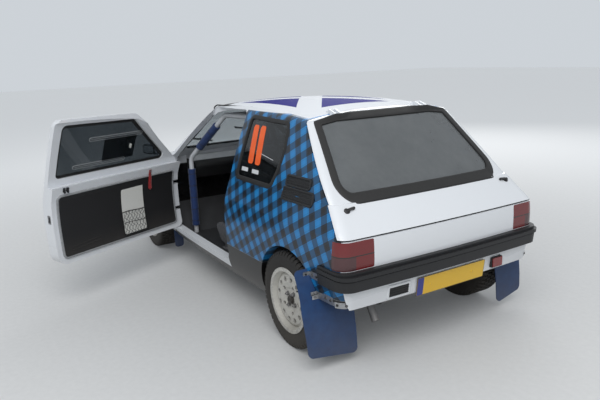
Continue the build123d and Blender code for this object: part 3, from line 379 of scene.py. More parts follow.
# %% [markdown]
# ## Body paint with its wrap
# The body sides are white shells with the tartan from the door to the tailgate's edge, and a black
# skirt along the bottom. The wrap only sits on outer faces, so its mask is a product: outer face,
# above the skirt, behind the door and below the roof. Along the sill, under the doorway too, a lower
# near-black band is painted shade, standing for the shadow under the sill.

# %% Finish: body sides
WRAP_FRONT, WRAP_BOTTOM, WRAP_TOP = -0.425, 0.440, 1.322
# The top of the painted shade: below this height the outer side is painted near black, for the shadow under the
# sill.
SILL_SHADE_TOP = 0.262
side_paint, tree, shader = finish("side_paint", Coat_Weight=0.25, Coat_Roughness=0.06)
x, y, z = object_place(tree)
checks = use_group(tree, tartan, {"Across": x, "Up": z})["Colour"]
outer = outward(tree, y, -0.35)
behind_door = step_down(tree, x, WRAP_FRONT, 0.004)
above_skirt = step_up(tree, z, WRAP_BOTTOM, 0.003)
below_roof = step_down(tree, z, WRAP_TOP, 0.004)
wrap = both(tree, outer, behind_door, above_skirt, below_roof)
# Below the wrap behind the door this is the real black skirt; the band below the sill height is painted shade.
skirt_and_sill_shade = either(tree, both(tree, outer, behind_door, inverse(tree, above_skirt)),
               both(tree, outward(tree, y, 0.25), step_down(tree, z, SILL_SHADE_TOP, 0.003)))
colour = mixed(tree, skirt_and_sill_shade, WHITE, BLACK)
colour = mixed(tree, wrap, colour, checks)
dusted(tree, shader, colour, 0.34, 0.16, 0.40, 0.0)
orange_peel(tree, shader)

# %% Finish: plain white paint, with the black bulkhead
BULKHEAD_BACK, BULKHEAD_FRONT, BULKHEAD_TOP = 0.74, 0.95, 0.80
white_paint, tree, shader = finish("white_paint", Coat_Weight=0.6, Coat_Roughness=0.05)
x, y, z = object_place(tree)
faces_back = step_down(tree, face_direction(tree, 0), -0.6, 0.1)
bulkhead = both(tree, faces_back, step_up(tree, x, BULKHEAD_BACK, 0.01),
                step_down(tree, x, BULKHEAD_FRONT, 0.01), step_down(tree, z, BULKHEAD_TOP, 0.01))
dusted(tree, shader, mixed(tree, bulkhead, WHITE, BLACK), 0.25, 0.42, 0.5, 0.04)
orange_peel(tree, shader)

# %% [markdown]
# ## The roof
# The roof carries a white diagonal cross on deep blue, with a white border. The cross is two bands
# whose distance from the roof's diagonals decides the colour. The same result could be painted, but
# two straight-line masks stay sharp and need no unwrapping.

# %% Finish: roof with its diagonal cross
ROOF_FRONT_X, ROOF_BACK_X, ROOF_FIELD_Y = 0.20, -0.90, 0.37
CROSS_HALF = 0.080
roof_paint, tree, shader = finish("roof_paint", Specular_IOR_Level=0.03)
x, y, z = object_place(tree)
middle_x = (ROOF_FRONT_X + ROOF_BACK_X) / 2
half_x = (ROOF_FRONT_X - ROOF_BACK_X) / 2
across = calc(tree, "MULTIPLY", calc(tree, "ABSOLUTE", y), half_x)
along = calc(tree, "MULTIPLY", apart(tree, x, middle_x), ROOF_FIELD_Y)
from_diagonal = calc(tree, "DIVIDE", apart(tree, across, along), sqrt(half_x ** 2 + ROOF_FIELD_Y ** 2))
off_cross = step_up(tree, from_diagonal, CROSS_HALF, 0.003)
in_x = step_down(tree, apart(tree, x, middle_x), half_x, 0.003)
in_y = step_down(tree, calc(tree, "ABSOLUTE", y), ROOF_FIELD_Y, 0.003)
faces_up = step_up(tree, face_direction(tree, 2), 0.5, 0.1)
field = both(tree, off_cross, in_x, in_y, faces_up)
dusted(tree, shader, mixed(tree, field, WHITE, DEEP_BLUE), 0.5, 0.0, 0.25, 0.0)
orange_peel(tree, shader)
print("paint finishes ready")

# %% [markdown]
# ## Plastics, rubber, metal and glass
# The rest of the car needs fewer tricks: grained black plastic on the bumpers, dusty rubber, bare
# and painted metal, and glass that is clear but never clean. Glass keeps a plain transmission value
# so that it also survives the export.

# %% Finish: black plastics
black_plastic, tree, shader = finish("black_plastic")
grain = use_group(tree, moulded_grain, {"Scale": 900.0, "Depth": 0.6})
colour = mixed(tree, grain["Shade"], rgb(7, 7, 8), rgb(24, 25, 28))
dusted(tree, shader, colour, 0.5, 0.12, 0.55, 0.03)
bumped(tree, shader, grain["Height"], 0.0004, 0.5)

door_plastic, tree, shader = finish("door_plastic")
grain = use_group(tree, moulded_grain, {"Scale": 1400.0, "Depth": 0.4})
dusted(tree, shader, mixed(tree, grain["Shade"], rgb(7, 7, 8), rgb(26, 26, 28)), 0.6, 0.3, 0.5, 0.05)
bumped(tree, shader, grain["Height"], 0.0003, 0.4)

# %% Finish: rubbers
tyre_rubber = mottled("tyre_rubber", (noise, 45.0, 6.0, 0.7), rgb(9, 9, 10), rgb(36, 35, 35),
                      dust=(0.72, 0.22, 0.6, 0.06), bump=(0.0006, 0.4))
flap_rubber = mottled("flap_rubber", (noise, 26.0, 6.0), rgb(6, 42, 86), rgb(16, 66, 116),
                      dust=(0.5, 0.35, 0.35, 0.1), bump=(0.0008, 0.3))


# %% Finish: metals
def metal(name, colour, roughness, metallic, dirt, scale=300.0):
    """Painted or bare metal with brushed variation, scuffed edges and dust."""
    material, tree, shader = finish(name)
    shader.inputs["Metallic"].default_value = metallic
    streaks = noise(tree, scale, 4.0)
    worn = use_group(tree, edge_wear, {"Amount": 0.7, "Scale": 70.0})["Mask"]
    shade = mixed(tree, streaks, tuple(v * 0.8 for v in colour[:3]) + (1,), colour)
    shade = mixed(tree, worn, shade, rgb(150, 150, 152))
    dusted(tree, shader, shade, roughness, dirt, 0.6, 0.1)
    bumped(tree, shader, streaks, 0.0002, 0.25)
    return material


rim_paint = metal("rim_paint", rgb(216, 215, 208), 0.38, 0.0, 0.55, 120.0)
underbody = metal("underbody", rgb(62, 63, 66), 0.65, 0.0, 0.8, 40.0)
cage_paint = metal("cage_paint", rgb(206, 209, 213), 0.35, 0.0, 0.1, 120.0)
steel = metal("steel", rgb(150, 150, 152), 0.42, 0.85, 0.5)
engine_metal = metal("engine_metal", rgb(128, 130, 134), 0.5, 0.7, 0.4)
guard_metal = metal("guard_metal", rgb(165, 168, 172), 0.4, 0.9, 0.5)
dark_metal = metal("dark_metal", rgb(34, 34, 36), 0.5, 0.4, 0.4)

# %% Finish: cabin floor, and the dashboard with its pale top
DASH_TOP = 0.838
cabin_floor = mottled("cabin_floor", (noise, 9.0, 8.0), rgb(22, 23, 26), rgb(48, 50, 54),
                      dust=(0.6, 0.0, 0.3, 0.04), bump=(0.0008, 0.3))
dash_paint, tree, shader = finish("dash_paint")
x, y, z = object_place(tree)
patches = noise(tree, 26.0, 8.0)
pale = mixed(tree, patches, rgb(184, 187, 190), rgb(206, 208, 210))
colour = mixed(tree, step_up(tree, z, DASH_TOP, 0.003), rgb(14, 15, 17), pale)
dusted(tree, shader, colour, 0.55, 0.0, 0.3, 0.04)
bumped(tree, shader, patches, 0.0006, 0.3)

# %% Finish: lamps
LAMP_SPLIT, LAMP_OUTER, AMBER_FROM = 0.676, 0.635, 0.700
lamp_red, tree, shader = finish("lamp_red", Coat_Weight=0.35, Coat_Roughness=0.05)
x, y, z = object_place(tree)
ribs = calc(tree, "PINGPONG", calc(tree, "MULTIPLY", z, 125.0), 0.5)
outside = step_up(tree, calc(tree, "ABSOLUTE", y), LAMP_OUTER, 0.004)
smoky = both(tree, outside, step_down(tree, z, LAMP_SPLIT, 0.004))
colour = mixed(tree, smoky, rgb(112, 8, 18), rgb(74, 34, 40))
split = step_down(tree, apart(tree, z, LAMP_SPLIT), 0.003, 0.002)
colour = mixed(tree, split, colour, rgb(26, 8, 8))
dusted(tree, shader, colour, 0.16, 0.2, 0.9, 0.05)
bumped(tree, shader, ribs, 0.0012, 0.5)

lamp_clear, tree, shader = finish("lamp_clear", Metallic=0.55, Coat_Weight=1.0, Coat_Roughness=0.03)
x, y, z = object_place(tree)
flutes = calc(tree, "PINGPONG", calc(tree, "MULTIPLY", y, 70.0), 0.5)
colour = mixed(tree, calc(tree, "MULTIPLY", flutes, 1.6), rgb(196, 200, 204), rgb(240, 242, 244))
amber = step_up(tree, calc(tree, "ABSOLUTE", y), AMBER_FROM, 0.004)
colour = mixed(tree, amber, colour, rgb(206, 104, 18))
dusted(tree, shader, colour, 0.15, 0.2, 0.9, 0.03)
bumped(tree, shader, flutes, 0.002, 0.6)


# %% Finish: glass
def window_glass(name, tint, haze, clear=0.92, pale=rgb(170, 172, 172)):
    """Clear or tinted glass with a film of dust that drifts between the tint and a paler tone."""
    material, tree, shader = finish(name, Transmission_Weight=clear, IOR=1.45)
    film = noise(tree, 3.5, 8.0, 0.7)
    fill(tree, shader.inputs["Base Color"], mixed(tree, film, tint, pale))
    fill(tree, shader.inputs["Roughness"], calc(tree, "MULTIPLY", film, haze))
    return material


side_glass = window_glass("side_glass", rgb(52, 58, 62), 0.06, 0.92, rgb(84, 90, 94))
rear_glass = window_glass("rear_glass", rgb(112, 116, 118), 0.30, 0.55, rgb(158, 162, 164))
screen_glass = window_glass("screen_glass", rgb(190, 200, 205), 0.05)

# %% Finish: seat cloth and grip
seat_cloth = mottled("seat_cloth", (threads, 260.0, 1.0), rgb(18, 20, 26), rgb(40, 44, 54),
                     dust=(0.9, 0.0, 0.4, 0.05), bump=(0.0005, 0.6), Sheen_Weight=0.3, Sheen_Roughness=0.5)
grip_suede = mottled("grip_suede", (noise, 500.0, 4.0), rgb(10, 10, 11), rgb(36, 35, 36),
                     bump=(0.0004, 0.6), Sheen_Weight=0.4, Roughness=0.92)
print("finishes", len(bpy.data.materials))

# %% [markdown]
# ## Dress the CAD pieces
# A CAD piece keeps its mesh and its place. Only its material slots are filled, from one table of
# finish and pieces, so a piece that was forgotten is easy to find.

# %% Give each CAD piece its finish
FINISH_OF = {
    side_paint: ["body_side_left", "body_side_right"],
    white_paint: ["front_wings", "scuttle", "front_panel", "rear_panel", "left_door", "right_door",
                  "left_door_mirror", "right_door_mirror", "tailgate", "bonnet", "tailgate_hinges"],
    roof_paint: ["roof_panel"],
    rim_paint: [f"{end}_{side}_rim" for end in ("front", "rear") for side in ("left", "right")],
    tyre_rubber: [f"{end}_{side}_tyre" for end in ("front", "rear") for side in ("left", "right")],
    underbody: ["wheel_housings", "inner_wings"],
    cabin_floor: ["floor_pan", "tunnel", "boot_floor"],
    dash_paint: ["dashboard"],
    cage_paint: ["roll_cage"],
    steel: ["front_suspension", "rear_axle", "exhaust", "door_hinges", "steering_column",
            "gear_lever", "handbrake", "left_knuckle", "right_knuckle"],
    engine_metal: ["engine"],
    guard_metal: ["sump_guard"],
    black_plastic: ["grille", "rear_bumper", "front_bumper"],
    door_plastic: ["left_door_card", "right_door_card"],
    lamp_red: ["tail_lamps"],
    lamp_clear: ["headlamps"],
    screen_glass: ["windscreen"],
    side_glass: ["quarter_windows", "left_door_window", "right_door_window"],
    rear_glass: ["tailgate_window"],
    flap_rubber: ["front_mudflaps", "rear_mudflaps"],
    seat_cloth: ["seats"],
    grip_suede: ["steering_wheel"],
}


def dress(piece, material):
    """Fills every material slot of a piece with one finish."""
    piece.data.materials.clear()
    piece.data.materials.append(material)


finish_of_node = {name: material for material, names in FINISH_OF.items() for name in names}
for name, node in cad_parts.items():
    dress(node, finish_of_node[name])
print("CAD pieces dressed:", len(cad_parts))

# %% [markdown]
# ## Mesh helpers
# The fine pieces are built from points and faces. Each helper returns the two lists for one simple
# form: a block, a turned form, a swept profile or a cut plate. A piece is then several forms joined,
# with a bevel that catches the light along its edges. Modelling by hand would do as well, but short
# functions can be run again when a size changes.


# %% Helpers: blocks, turned forms and swept profiles
def side_and_up(ahead):
    """Two directions square to one that is given."""
    ahead = Vector(ahead).normalized()
    side = ahead.cross(Vector((0, 0, 1)) if abs(ahead.z) < 0.9 else Vector((1, 0, 0))).normalized()
    return side, side.cross(ahead)


SIGNS = [(a, b, c) for a in (-1, 1) for b in (-1, 1) for c in (-1, 1)]
BOX_FACES = [(0, 1, 3, 2), (4, 6, 7, 5), (0, 4, 5, 1), (2, 3, 7, 6), (0, 2, 6, 4), (1, 5, 7, 3)]


def block(centre, size, turn=None):
    """A box about its centre, turned if a rotation is given."""
    corners = [Vector((a * size[0], b * size[1], c * size[2])) / 2 for a, b, c in SIGNS]
    return [Vector(centre) + (turn @ v if turn else v) for v in corners], BOX_FACES


def turned(profile, at=(0, 0, 0), axis=(0, 0, 1), sides=32, closed=False):
    """A profile of (radius, distance along the axis), turned round the axis."""
    at, axis = Vector(at), Vector(axis).normalized()
    side, up = side_and_up(axis)
    verts, rings = [], []
    for radius, along in profile:
        start = len(verts)
        if radius:
            verts += [at + axis * along + (side * cos(tau * n / sides) + up * sin(tau * n / sides)) * radius
                      for n in range(sides)]
            rings.append([start + n for n in range(sides)])
        else:
            verts.append(at + axis * along)
            rings.append([start] * sides)
    faces = []
    for one, two in zip(rings, rings[1:] + rings[:1] if closed else rings[1:]):
        for n in range(sides):
            m = (n + 1) % sides
            faces.append(tuple(dict.fromkeys((one[n], one[m], two[m], two[n]))))
    if not closed:
        faces += [tuple(ring) for ring in (rings[0], rings[-1]) if len(set(ring)) > 1]
    return verts, faces


def tube_faces(count, size, closed):
    """The faces between rings of equal size that follow each other."""
    pairs = [(i * size, (i + 1) % count * size) for i in range(count if closed else count - 1)]
    return [(a + k, a + (k + 1) % size, b + (k + 1) % size, b + k) for a, b in pairs for k in range(size)]


def swept(path, profile, closed=False, facing=None):
    """A closed profile of (across, outward) points carried along a path."""
    points = [Vector(p) for p in path]
    count, size = len(points), len(profile)
    verts, out = [], None
    for i, point in enumerate(points):
        before = points[i - 1] if i or closed else point
        after = points[(i + 1) % count] if i < count - 1 or closed else point
        ahead = (after - before).normalized()
        out = Vector(facing[i]) if facing else (side_and_up(ahead)[1] if out is None else out)
        out = (out - ahead * out.dot(ahead)).normalized()
        across = ahead.cross(out)
        verts += [point + across * u + out * v for u, v in profile]
    faces = tube_faces(count, size, closed)
    if not closed:
        faces += [tuple(range(size)), tuple(range((count - 1) * size, count * size))]
    return verts, faces


def plate(outline, low, high):
    """A flat outline with thickness: low and high give a point in space for each (a, b)."""
    n = len(outline)
    verts = [low(a, b) for a, b in outline] + [high(a, b) for a, b in outline]
    faces = [tuple(range(n)), tuple(range(n, 2 * n))]
    return verts, faces + [(i, (i + 1) % n, (i + 1) % n + n, i + n) for i in range(n)]


def flat_plate(outline, low, high):
    """An outline in x and y with thickness between two values of z."""
    return plate(outline, lambda a, b: Vector((a, b, low)), lambda a, b: Vector((a, b, high)))


def upright_plate(outline, front, back):
    """An outline in y and z with thickness between two values of x."""
    return plate(outline, lambda a, b: Vector((front, a, b)), lambda a, b: Vector((back, a, b)))


def oval(width, height, sides):
    return [(width / 2 * cos(tau * n / sides), height / 2 * sin(tau * n / sides)) for n in range(sides)]


def moved(part, change):
    """The same form with every point passed through a function."""
    return [Vector(change(v)) for v in part[0]], part[1]


def mirror(v):
    return Vector((v[0], -v[1], v[2]))


print("form helpers ready")


# %% Helpers: outlines with rounded corners
def rounded(corners, steps=6, longest=None):
    """A closed outline through (a, b, radius) corners, with long edges divided."""
    made = []
    count = len(corners)
    for i, (a, b, radius) in enumerate(corners):
        here = Vector((a, b))
        back = (Vector(corners[i - 1][:2]) - here).normalized()
        ahead = (Vector(corners[(i + 1) % count][:2]) - here).normalized()
        half = back.angle(ahead) / 2
        if radius == 0 or half > 1.54:
            made.append(here)
            continue
        reach = radius / tan(half)
        centre = here + (back + ahead).normalized() * (radius / sin(half))
        start, end = here + back * reach - centre, here + ahead * reach - centre
        first = atan2(start.y, start.x)
        sweep = (atan2(end.y, end.x) - first + pi) % tau - pi
        made += [centre + Vector((cos(first + sweep * n / steps), sin(first + sweep * n / steps))) * radius
                 for n in range(steps + 1)]
    if longest is None:
        return [tuple(p) for p in made]
    dense = []
    for one, two in zip(made, made[1:] + made[:1]):
        parts = max(1, int((two - one).length / longest))
        dense += [tuple(one.lerp(two, n / parts)) for n in range(parts)]
    return dense


def rectangle(low_a, high_a, low_b, high_b, radius, steps=6, longest=None):
    """An outline with four equal corners."""
    corners = [(low_a, low_b), (high_a, low_b), (high_a, high_b), (low_a, high_b)]
    return rounded([(a, b, radius) for a, b in corners], steps, longest)


def widened(outline, by):
    """The outline moved outwards by a distance."""
    points = [Vector(p) for p in outline]
    area = sum(p.x * q.y - q.x * p.y for p, q in zip(points, points[1:] + points[:1]))
    sign = 1 if area > 0 else -1
    made = []
    for i, point in enumerate(points):
        along = (points[(i + 1) % len(points)] - points[i - 1]).normalized()
        made.append(tuple(point + Vector((along.y, -along.x)) * by * sign))
    return made


# %% Helpers: finding the surface of a CAD piece
skins = {}


def skin(name):
    """A search tree of one CAD piece's faces."""
    if name not in skins:
        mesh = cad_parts[name].data
        skins[name] = BVHTree.FromPolygons([v.co for v in mesh.vertices], [p.vertices for p in mesh.polygons])
    return skins[name]


def land(names, start, towards, lift=0.0):
    """Where a ray first meets one of the pieces, lifted off its surface, and the surface's direction."""
    hits = [skin(name).ray_cast(Vector(start), Vector(towards)) for name in names]
    hits = [h for h in hits if h[0] is not None]
    if not hits:
        return None, None
    point, normal, _, _ = min(hits, key=lambda h: h[3])
    normal = normal if normal.dot(Vector(towards)) < 0 else -normal
    return point + normal * lift, normal


# %% Helper: a finished piece
def make(name, parts, material, body, slot, bevel=0.0, crease=40.0):
    """Joins forms into one piece, gives it a finish and lets it ride on a body."""
    bm = bmesh.new()
    for verts, faces in parts:
        placed = [bm.verts.new(v) for v in verts]
        for face in faces:
            bm.faces.new([placed[i] for i in face])
    bmesh.ops.recalc_face_normals(bm, faces=bm.faces)
    mesh = bpy.data.meshes.new(name)
    bm.to_mesh(mesh)
    bm.free()
    mesh.shade_smooth()
    piece = bpy.data.objects.new(name, mesh)
    bpy.context.collection.objects.link(piece)
    dress(piece, material)
    if bevel:
        edge = piece.modifiers.new("soft_edge", "BEVEL")
        edge.width, edge.segments, edge.harden_normals = bevel, 2, True
        edge.limit_method, edge.angle_limit = "ANGLE", radians(crease)
    else:
        mesh.set_sharp_from_angle(angle=radians(crease))
    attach(piece, body)
    return piece


print("piece helpers ready")

# %% [markdown]
# ## Tyres
# A rally tyre has blocks of tread with open grooves, rounded shoulders and a plain wall. The CAD
# tyre is a smooth ring of the right size, so each one is replaced by a ring with a lower tread floor
# and separate blocks that reach the full radius. Cutting grooves with booleans would give the same
# form, but setting blocks on a floor is faster and leaves clean edges.

# %% Tyres with tread blocks
WHEEL_Z, TYRE_R = 0.289, 0.289
AXLE_X = {"front": 1.210, "rear": -1.210}
WHEEL_Y = {"front": 0.690, "rear": 0.661}
TREAD_COUNT = 54
BLOCK_FOOT = TYRE_R - 0.012  # the blocks reach down into the carcass
# Tread rows: from y, to y, share of the pitch that is rubber, shift along the tread in pitches, slant
TREAD_ROWS = [(-0.050, -0.020, 0.74, 0.0, 0.10), (-0.015, 0.015, 0.78, 0.45, 0.0),
              (0.020, 0.050, 0.74, 0.9, -0.10)]
SHOULDER_ROW = (0.056, 0.0900, 0.66, 0.35, 0.12)
# The wall from the bead to the tread floor: radius, distance from the middle of the tyre
CARCASS = [(0.178, -0.0785), (0.188, -0.0845), (0.196, -0.0862), (0.199, -0.0884), (0.203, -0.0888),
           (0.222, -0.0920), (0.240, -0.0922), (0.256, -0.0908), (0.266, -0.0880), (0.275, -0.0810),
           (0.2805, -0.0680), (0.2812, -0.030)]


def tread_block(y_from, y_to, share, shift, slant, n, shoulder=False):
    """One block of tread on the carcass, as a curved slab across one pitch."""
    pitch = tau / TREAD_COUNT
    start = (n + shift) * pitch
    if shoulder:
        section = [(y_from, BLOCK_FOOT), (y_from, TYRE_R), (y_from + 0.017, TYRE_R),
                   (y_to - 0.006, TYRE_R - 0.006), (y_to, TYRE_R - 0.021),
                   (y_to - 0.004, TYRE_R - 0.030), (y_to - 0.012, TYRE_R - 0.024)]
    else:
        section = [(y_from, BLOCK_FOOT), (y_from, TYRE_R), (y_to, TYRE_R), (y_to, BLOCK_FOOT)]
    size = len(section)
    verts = []
    for part in (0, 0.5, 1):
        for y, r in section:
            lean = slant * pitch * (y - y_from) / (y_to - y_from)
            angle = start + share * pitch * part + lean
            verts.append((r * cos(angle), y, r * sin(angle)))
    return verts, [tuple(range(size)), tuple(range(2 * size, 3 * size))] + tube_faces(3, size, False)


tyre_parts = [turned(CARCASS + [(r, -y) for r, y in reversed(CARCASS)], (0, 0, 0), (0, 1, 0), 96, closed=True)]
for n in range(TREAD_COUNT):
    tyre_parts += [tread_block(*row, n) for row in TREAD_ROWS]
    shoulder = tread_block(*SHOULDER_ROW, n, shoulder=True)
    tyre_parts += [shoulder, moved(shoulder, mirror)]
for end, x in AXLE_X.items():
    for side, sign in (("left", 1), ("right", -1)):
        centre = Vector((x, sign * WHEEL_Y[end], WHEEL_Z))
        placed = [moved(part, lambda v: Vector(v) + centre) for part in tyre_parts]
        tyre = make(f"{end}_{side}_tread", placed, tyre_rubber, f"{end}_{side}_wheel", "tyre", crease=35)
        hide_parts(f"{end}_{side}_tyre")
print("tyre faces", len(tyre.data.polygons))

# %% [markdown]
# ## Wheel nuts, caps and valves
# Each wheel is held by four hexagon nuts and carries a small cap over its hub and a rubber valve.
# They all turn with the wheel.

# %% Wheel nuts, cap and valve
FACE_OUT = 0.058
NUT_R, NUT_CIRCLE = 0.0105, 0.046


# Profiles as (radius, distance out), the nut's in three parts: washer, hexagon and stud
WASHER = [(0, -0.001), (0.0145, -0.001), (0.0145, 0.002), (NUT_R, 0.0022)]
HEXAGON = [(NUT_R, 0.002), (NUT_R, 0.014), (0.008, 0.0165), (0, 0.0165)]
STUD = [(0.0048, 0.015), (0.0048, 0.0215), (0, 0.0222)]
CAP = [(0, 0.0165), (0.0205, 0.0135), (0.0235, -0.001), (0.0285, -0.001), (0.0285, 0.004),
       (0.0255, 0.0065), (0.0240, 0.015), (0.018, 0.0195), (0, 0.0205)]
VALVE = [(0, -0.004), (0.0075, -0.004), (0.0075, 0.001), (0.0045, 0.004), (0.0040, 0.020),
         (0.0046, 0.021), (0.0046, 0.030), (0, 0.031)]


def wheel_fittings(x, y_centre, sign):
    """The nuts, the hub cap and the valve of one wheel."""
    face_y, out = y_centre + FACE_OUT, (0, sign, 0)
    nuts = []
    for n in range(4):
        angle = tau * n / 4 + 0.6
        at = (x + NUT_CIRCLE * cos(angle), sign * face_y, WHEEL_Z + NUT_CIRCLE * sin(angle))
        nuts += [turned(profile, at, out, sides) for profile, sides in ((WASHER, 24), (HEXAGON, 6), (STUD, 12))]
    cap = turned(CAP, (x, sign * face_y, WHEEL_Z), out, 40)
    valve = turned(VALVE, (x - 0.118, sign * (y_centre + 0.061), WHEEL_Z + 0.096), (0.30, sign, -0.22), 14)
    return nuts, cap, valve


for end, x in AXLE_X.items():
    for side, sign in (("left", 1), ("right", -1)):
        nuts, cap, valve = wheel_fittings(x, WHEEL_Y[end], sign)
        wheel = f"{end}_{side}_wheel"
        make(f"{wheel}_nuts", nuts, steel, wheel, "steel", crease=30)
        make(f"{wheel}_cap", [cap], dark_metal, wheel, "steel", crease=30)
        make(f"{wheel}_valve", [valve], black_plastic, wheel, "black_plastic")
print("wheel fittings on 4 wheels")

# %% [markdown]
# ## Window seals
# The fixed windows sit in black rubber. Each seal is a ring whose cross-section rises from the glass,
# runs over the edge of the opening and comes down on the paint. Its points are found by rays onto the
# real panel, so that it follows the curve of the body. A band painted onto the panel would be
# quicker, but it would have no thickness to catch the light.

# %% Seals round the fixed windows
OUTER_PANELS = ["body_side_left", "body_side_right", "roof_panel", "scuttle", "tailgate", "bonnet"]
BEYOND_END, BESIDE, ABOVE = 2.4, 1.4, 1.6  # clear of the car: along it, to its side and over it
ON_GLASS = 0.001  # rows of a seal nearer than this to its outline lie on the glass
VIEWS = {
    "rear": (lambda a, b: (-BEYOND_END, a, b), (1, 0, 0)),
    "front": (lambda a, b: (BEYOND_END, a, b), (-1, 0, 0)),
    "left": (lambda a, b: (a, BESIDE, b), (0, -1, 0)),
    "right": (lambda a, b: (a, -BESIDE, b), (0, 1, 0)),
}


def strip_ring(outline, view, rows, panels, glass):
    """A ring of points about an outline: each row is (distance outwards, height above the surface)."""
    start, towards = VIEWS[view]
    loops = [(widened(outline, by), [glass] if by < ON_GLASS else panels, height) for by, height in rows]
    columns = [[land(names, start(*loop[i]), towards, height)[0] for loop, names, height in loops]
               for i in range(len(outline))]
    kept = [column for column in columns if all(point is not None for point in column)]
    return [point for column in kept for point in column], tube_faces(len(kept), len(rows), True)


REAR_GLASS = rounded([(-0.574, 0.928, 0.060), (0.574, 0.928, 0.060), (0.470, 1.296, 0.045),
                      (-0.470, 1.296, 0.045)], 8, 0.04)
SCREEN = rounded([(-0.632, 0.932, 0.060), (0.632, 0.932, 0.060), (0.462, 1.290, 0.060),
                  (-0.462, 1.290, 0.060)], 8, 0.04)
QUARTER = rounded([(-0.530, 0.912, 0.030), (-0.524, 1.284, 0.035), (-0.978, 1.272, 0.040),
                   (-1.030, 1.090, 0.300), (-0.962, 0.912, 0.040)], 6, 0.03)
WIDE_SEAL = [(-0.014, -0.001), (-0.012, 0.0085), (-0.004, 0.0105), (0.004, 0.0052), (0.024, 0.0046),
             (0.030, 0.0030), (0.032, -0.001)]
NARROW_SEAL = [(-0.012, -0.001), (-0.010, 0.0075), (-0.003, 0.0095), (0.003, 0.0040), (0.012, 0.0034),
               (0.015, 0.0022), (0.016, -0.001)]
rubber_seal = mottled("rubber_seal", (noise, 60.0, 5.0), rgb(9, 9, 10), rgb(26, 26, 27),
                      dust=(0.55, 0.0, 0.4, 0.05), bump=(0.0003, 0.3))
make("rear_glass_seal", [strip_ring(REAR_GLASS, "rear", WIDE_SEAL, ["tailgate"], "tailgate_window")],
     rubber_seal, "tailgate", "black_plastic", crease=50)
make("screen_seal", [strip_ring(SCREEN, "front", WIDE_SEAL, OUTER_PANELS, "windscreen")],
     rubber_seal, "body", "black_plastic", crease=50)
for side in ("left", "right"):
    ring = strip_ring(QUARTER, side, NARROW_SEAL, [f"body_side_{side}"], "quarter_windows")
    make(f"quarter_seal_{side}", [ring], rubber_seal, "body", "black_plastic", crease=50)
print("seals made")

# %% [markdown]
# ## Marks on the quarter windows
# The quarter windows are tinted with film. Each carries two slanted orange bars, a thin pale line
# beside them and two small pale strips below. They are thin raised sheets on the outside of the glass.

# %% Film marks on the quarter windows
orange_film = mottled("orange_film", (noise, 18.0, 4.0), rgb(240, 84, 22), rgb(252, 112, 40), Roughness=0.42)
pale_film = mottled("pale_film", (noise, 40.0, 4.0), rgb(200, 203, 206), rgb(226, 228, 230), Roughness=0.45)


def laid_sheet(outline, view, panel, thickness, lift=0.0004):
    """A thin sheet on a curved panel, as a fan of triangles from its middle."""
    start, towards = VIEWS[view]
    middle = (sum(a for a, _ in outline) / len(outline), sum(b for _, b in outline) / len(outline))
    verts, faces = [], []
    rings = [[(middle[0] + (a - middle[0]) * s, middle[1] + (b - middle[1]) * s) for a, b in outline]
             for s in (0.33, 0.66, 1.0)]
    for height in (lift, lift + thickness):
        verts.append(land([panel], start(*middle), towards, height)[0])
        for ring in rings:
            verts += [land([panel], start(a, b), towards, height)[0] for a, b in ring]
    n = len(outline)
    layer = 1 + 3 * n
    for base in (0, layer):
        faces += [(base, base + 1 + i, base + 1 + (i + 1) % n) for i in range(n)]
        for r in (0, 1):
            a, b = base + 1 + r * n, base + 1 + (r + 1) * n
            faces += [(a + i, a + (i + 1) % n, b + (i + 1) % n, b + i) for i in range(n)]
    edge = 1 + 2 * n
    faces += [(edge + i, edge + (i + 1) % n, layer + edge + (i + 1) % n, layer + edge + i) for i in range(n)]
    return verts, faces


def slanted_bar(x, z, width, height, lean, radius=0.018):
    """The outline of a bar that leans forward at its top."""
    half_w, half_h = width / 2, height / 2
    corners = [(x - half_w - lean, z - half_h, radius), (x + half_w - lean, z - half_h, radius),
               (x + half_w + lean, z + half_h, radius), (x - half_w + lean, z + half_h, radius)]
    return rounded(corners, 5, 0.03)


for side in ("left", "right"):
    bars = [laid_sheet(slanted_bar(x, 1.124, 0.064, 0.232, 0.024), side, "quarter_windows", 0.0006)
            for x in (-0.640, -0.728)]
    make(f"quarter_bars_{side}", bars, orange_film, "body", "body_paint", crease=60)
    line = laid_sheet(rounded([(-0.920, 1.056, 0.001), (-0.700, 1.086, 0.001), (-0.700, 1.089, 0.001),
                               (-0.920, 1.059, 0.001)], 1, 0.05), side, "quarter_windows", 0.0005)
    panels = [laid_sheet(slanted_bar(x, 0.968, 0.082, 0.024, 0.002, 0.004), side, "quarter_windows", 0.0005)
              for x in (-0.612, -0.748)]
    make(f"quarter_film_{side}", [line] + panels, pale_film, "body", "body_paint", crease=60)
print("quarter marks made")

# %% [markdown]
# ## Vents in the rear pillars
# Stale cabin air leaves through two black louvred vents in each rear pillar. Each vent is a raised
# rim with a few slats across it, laid on the body side.

# %% Vents in the rear pillars
# Each vent: front x, rear x at the top, rear x at the bottom, low z, high z
VENTS = [(-1.120, -1.345, -1.352, 0.950, 1.004), (-1.112, -1.395, -1.410, 0.872, 0.938)]
VENT_ROWS = [(-0.008, 0.0015), (-0.006, 0.0065), (0.0, 0.0080), (0.004, 0.0060), (0.006, -0.001),
             (-0.006, -0.001)]
SLAT = [(-0.0048, -0.002), (0.0050, -0.002), (0.0044, 0.0010), (-0.0030, 0.0046)]


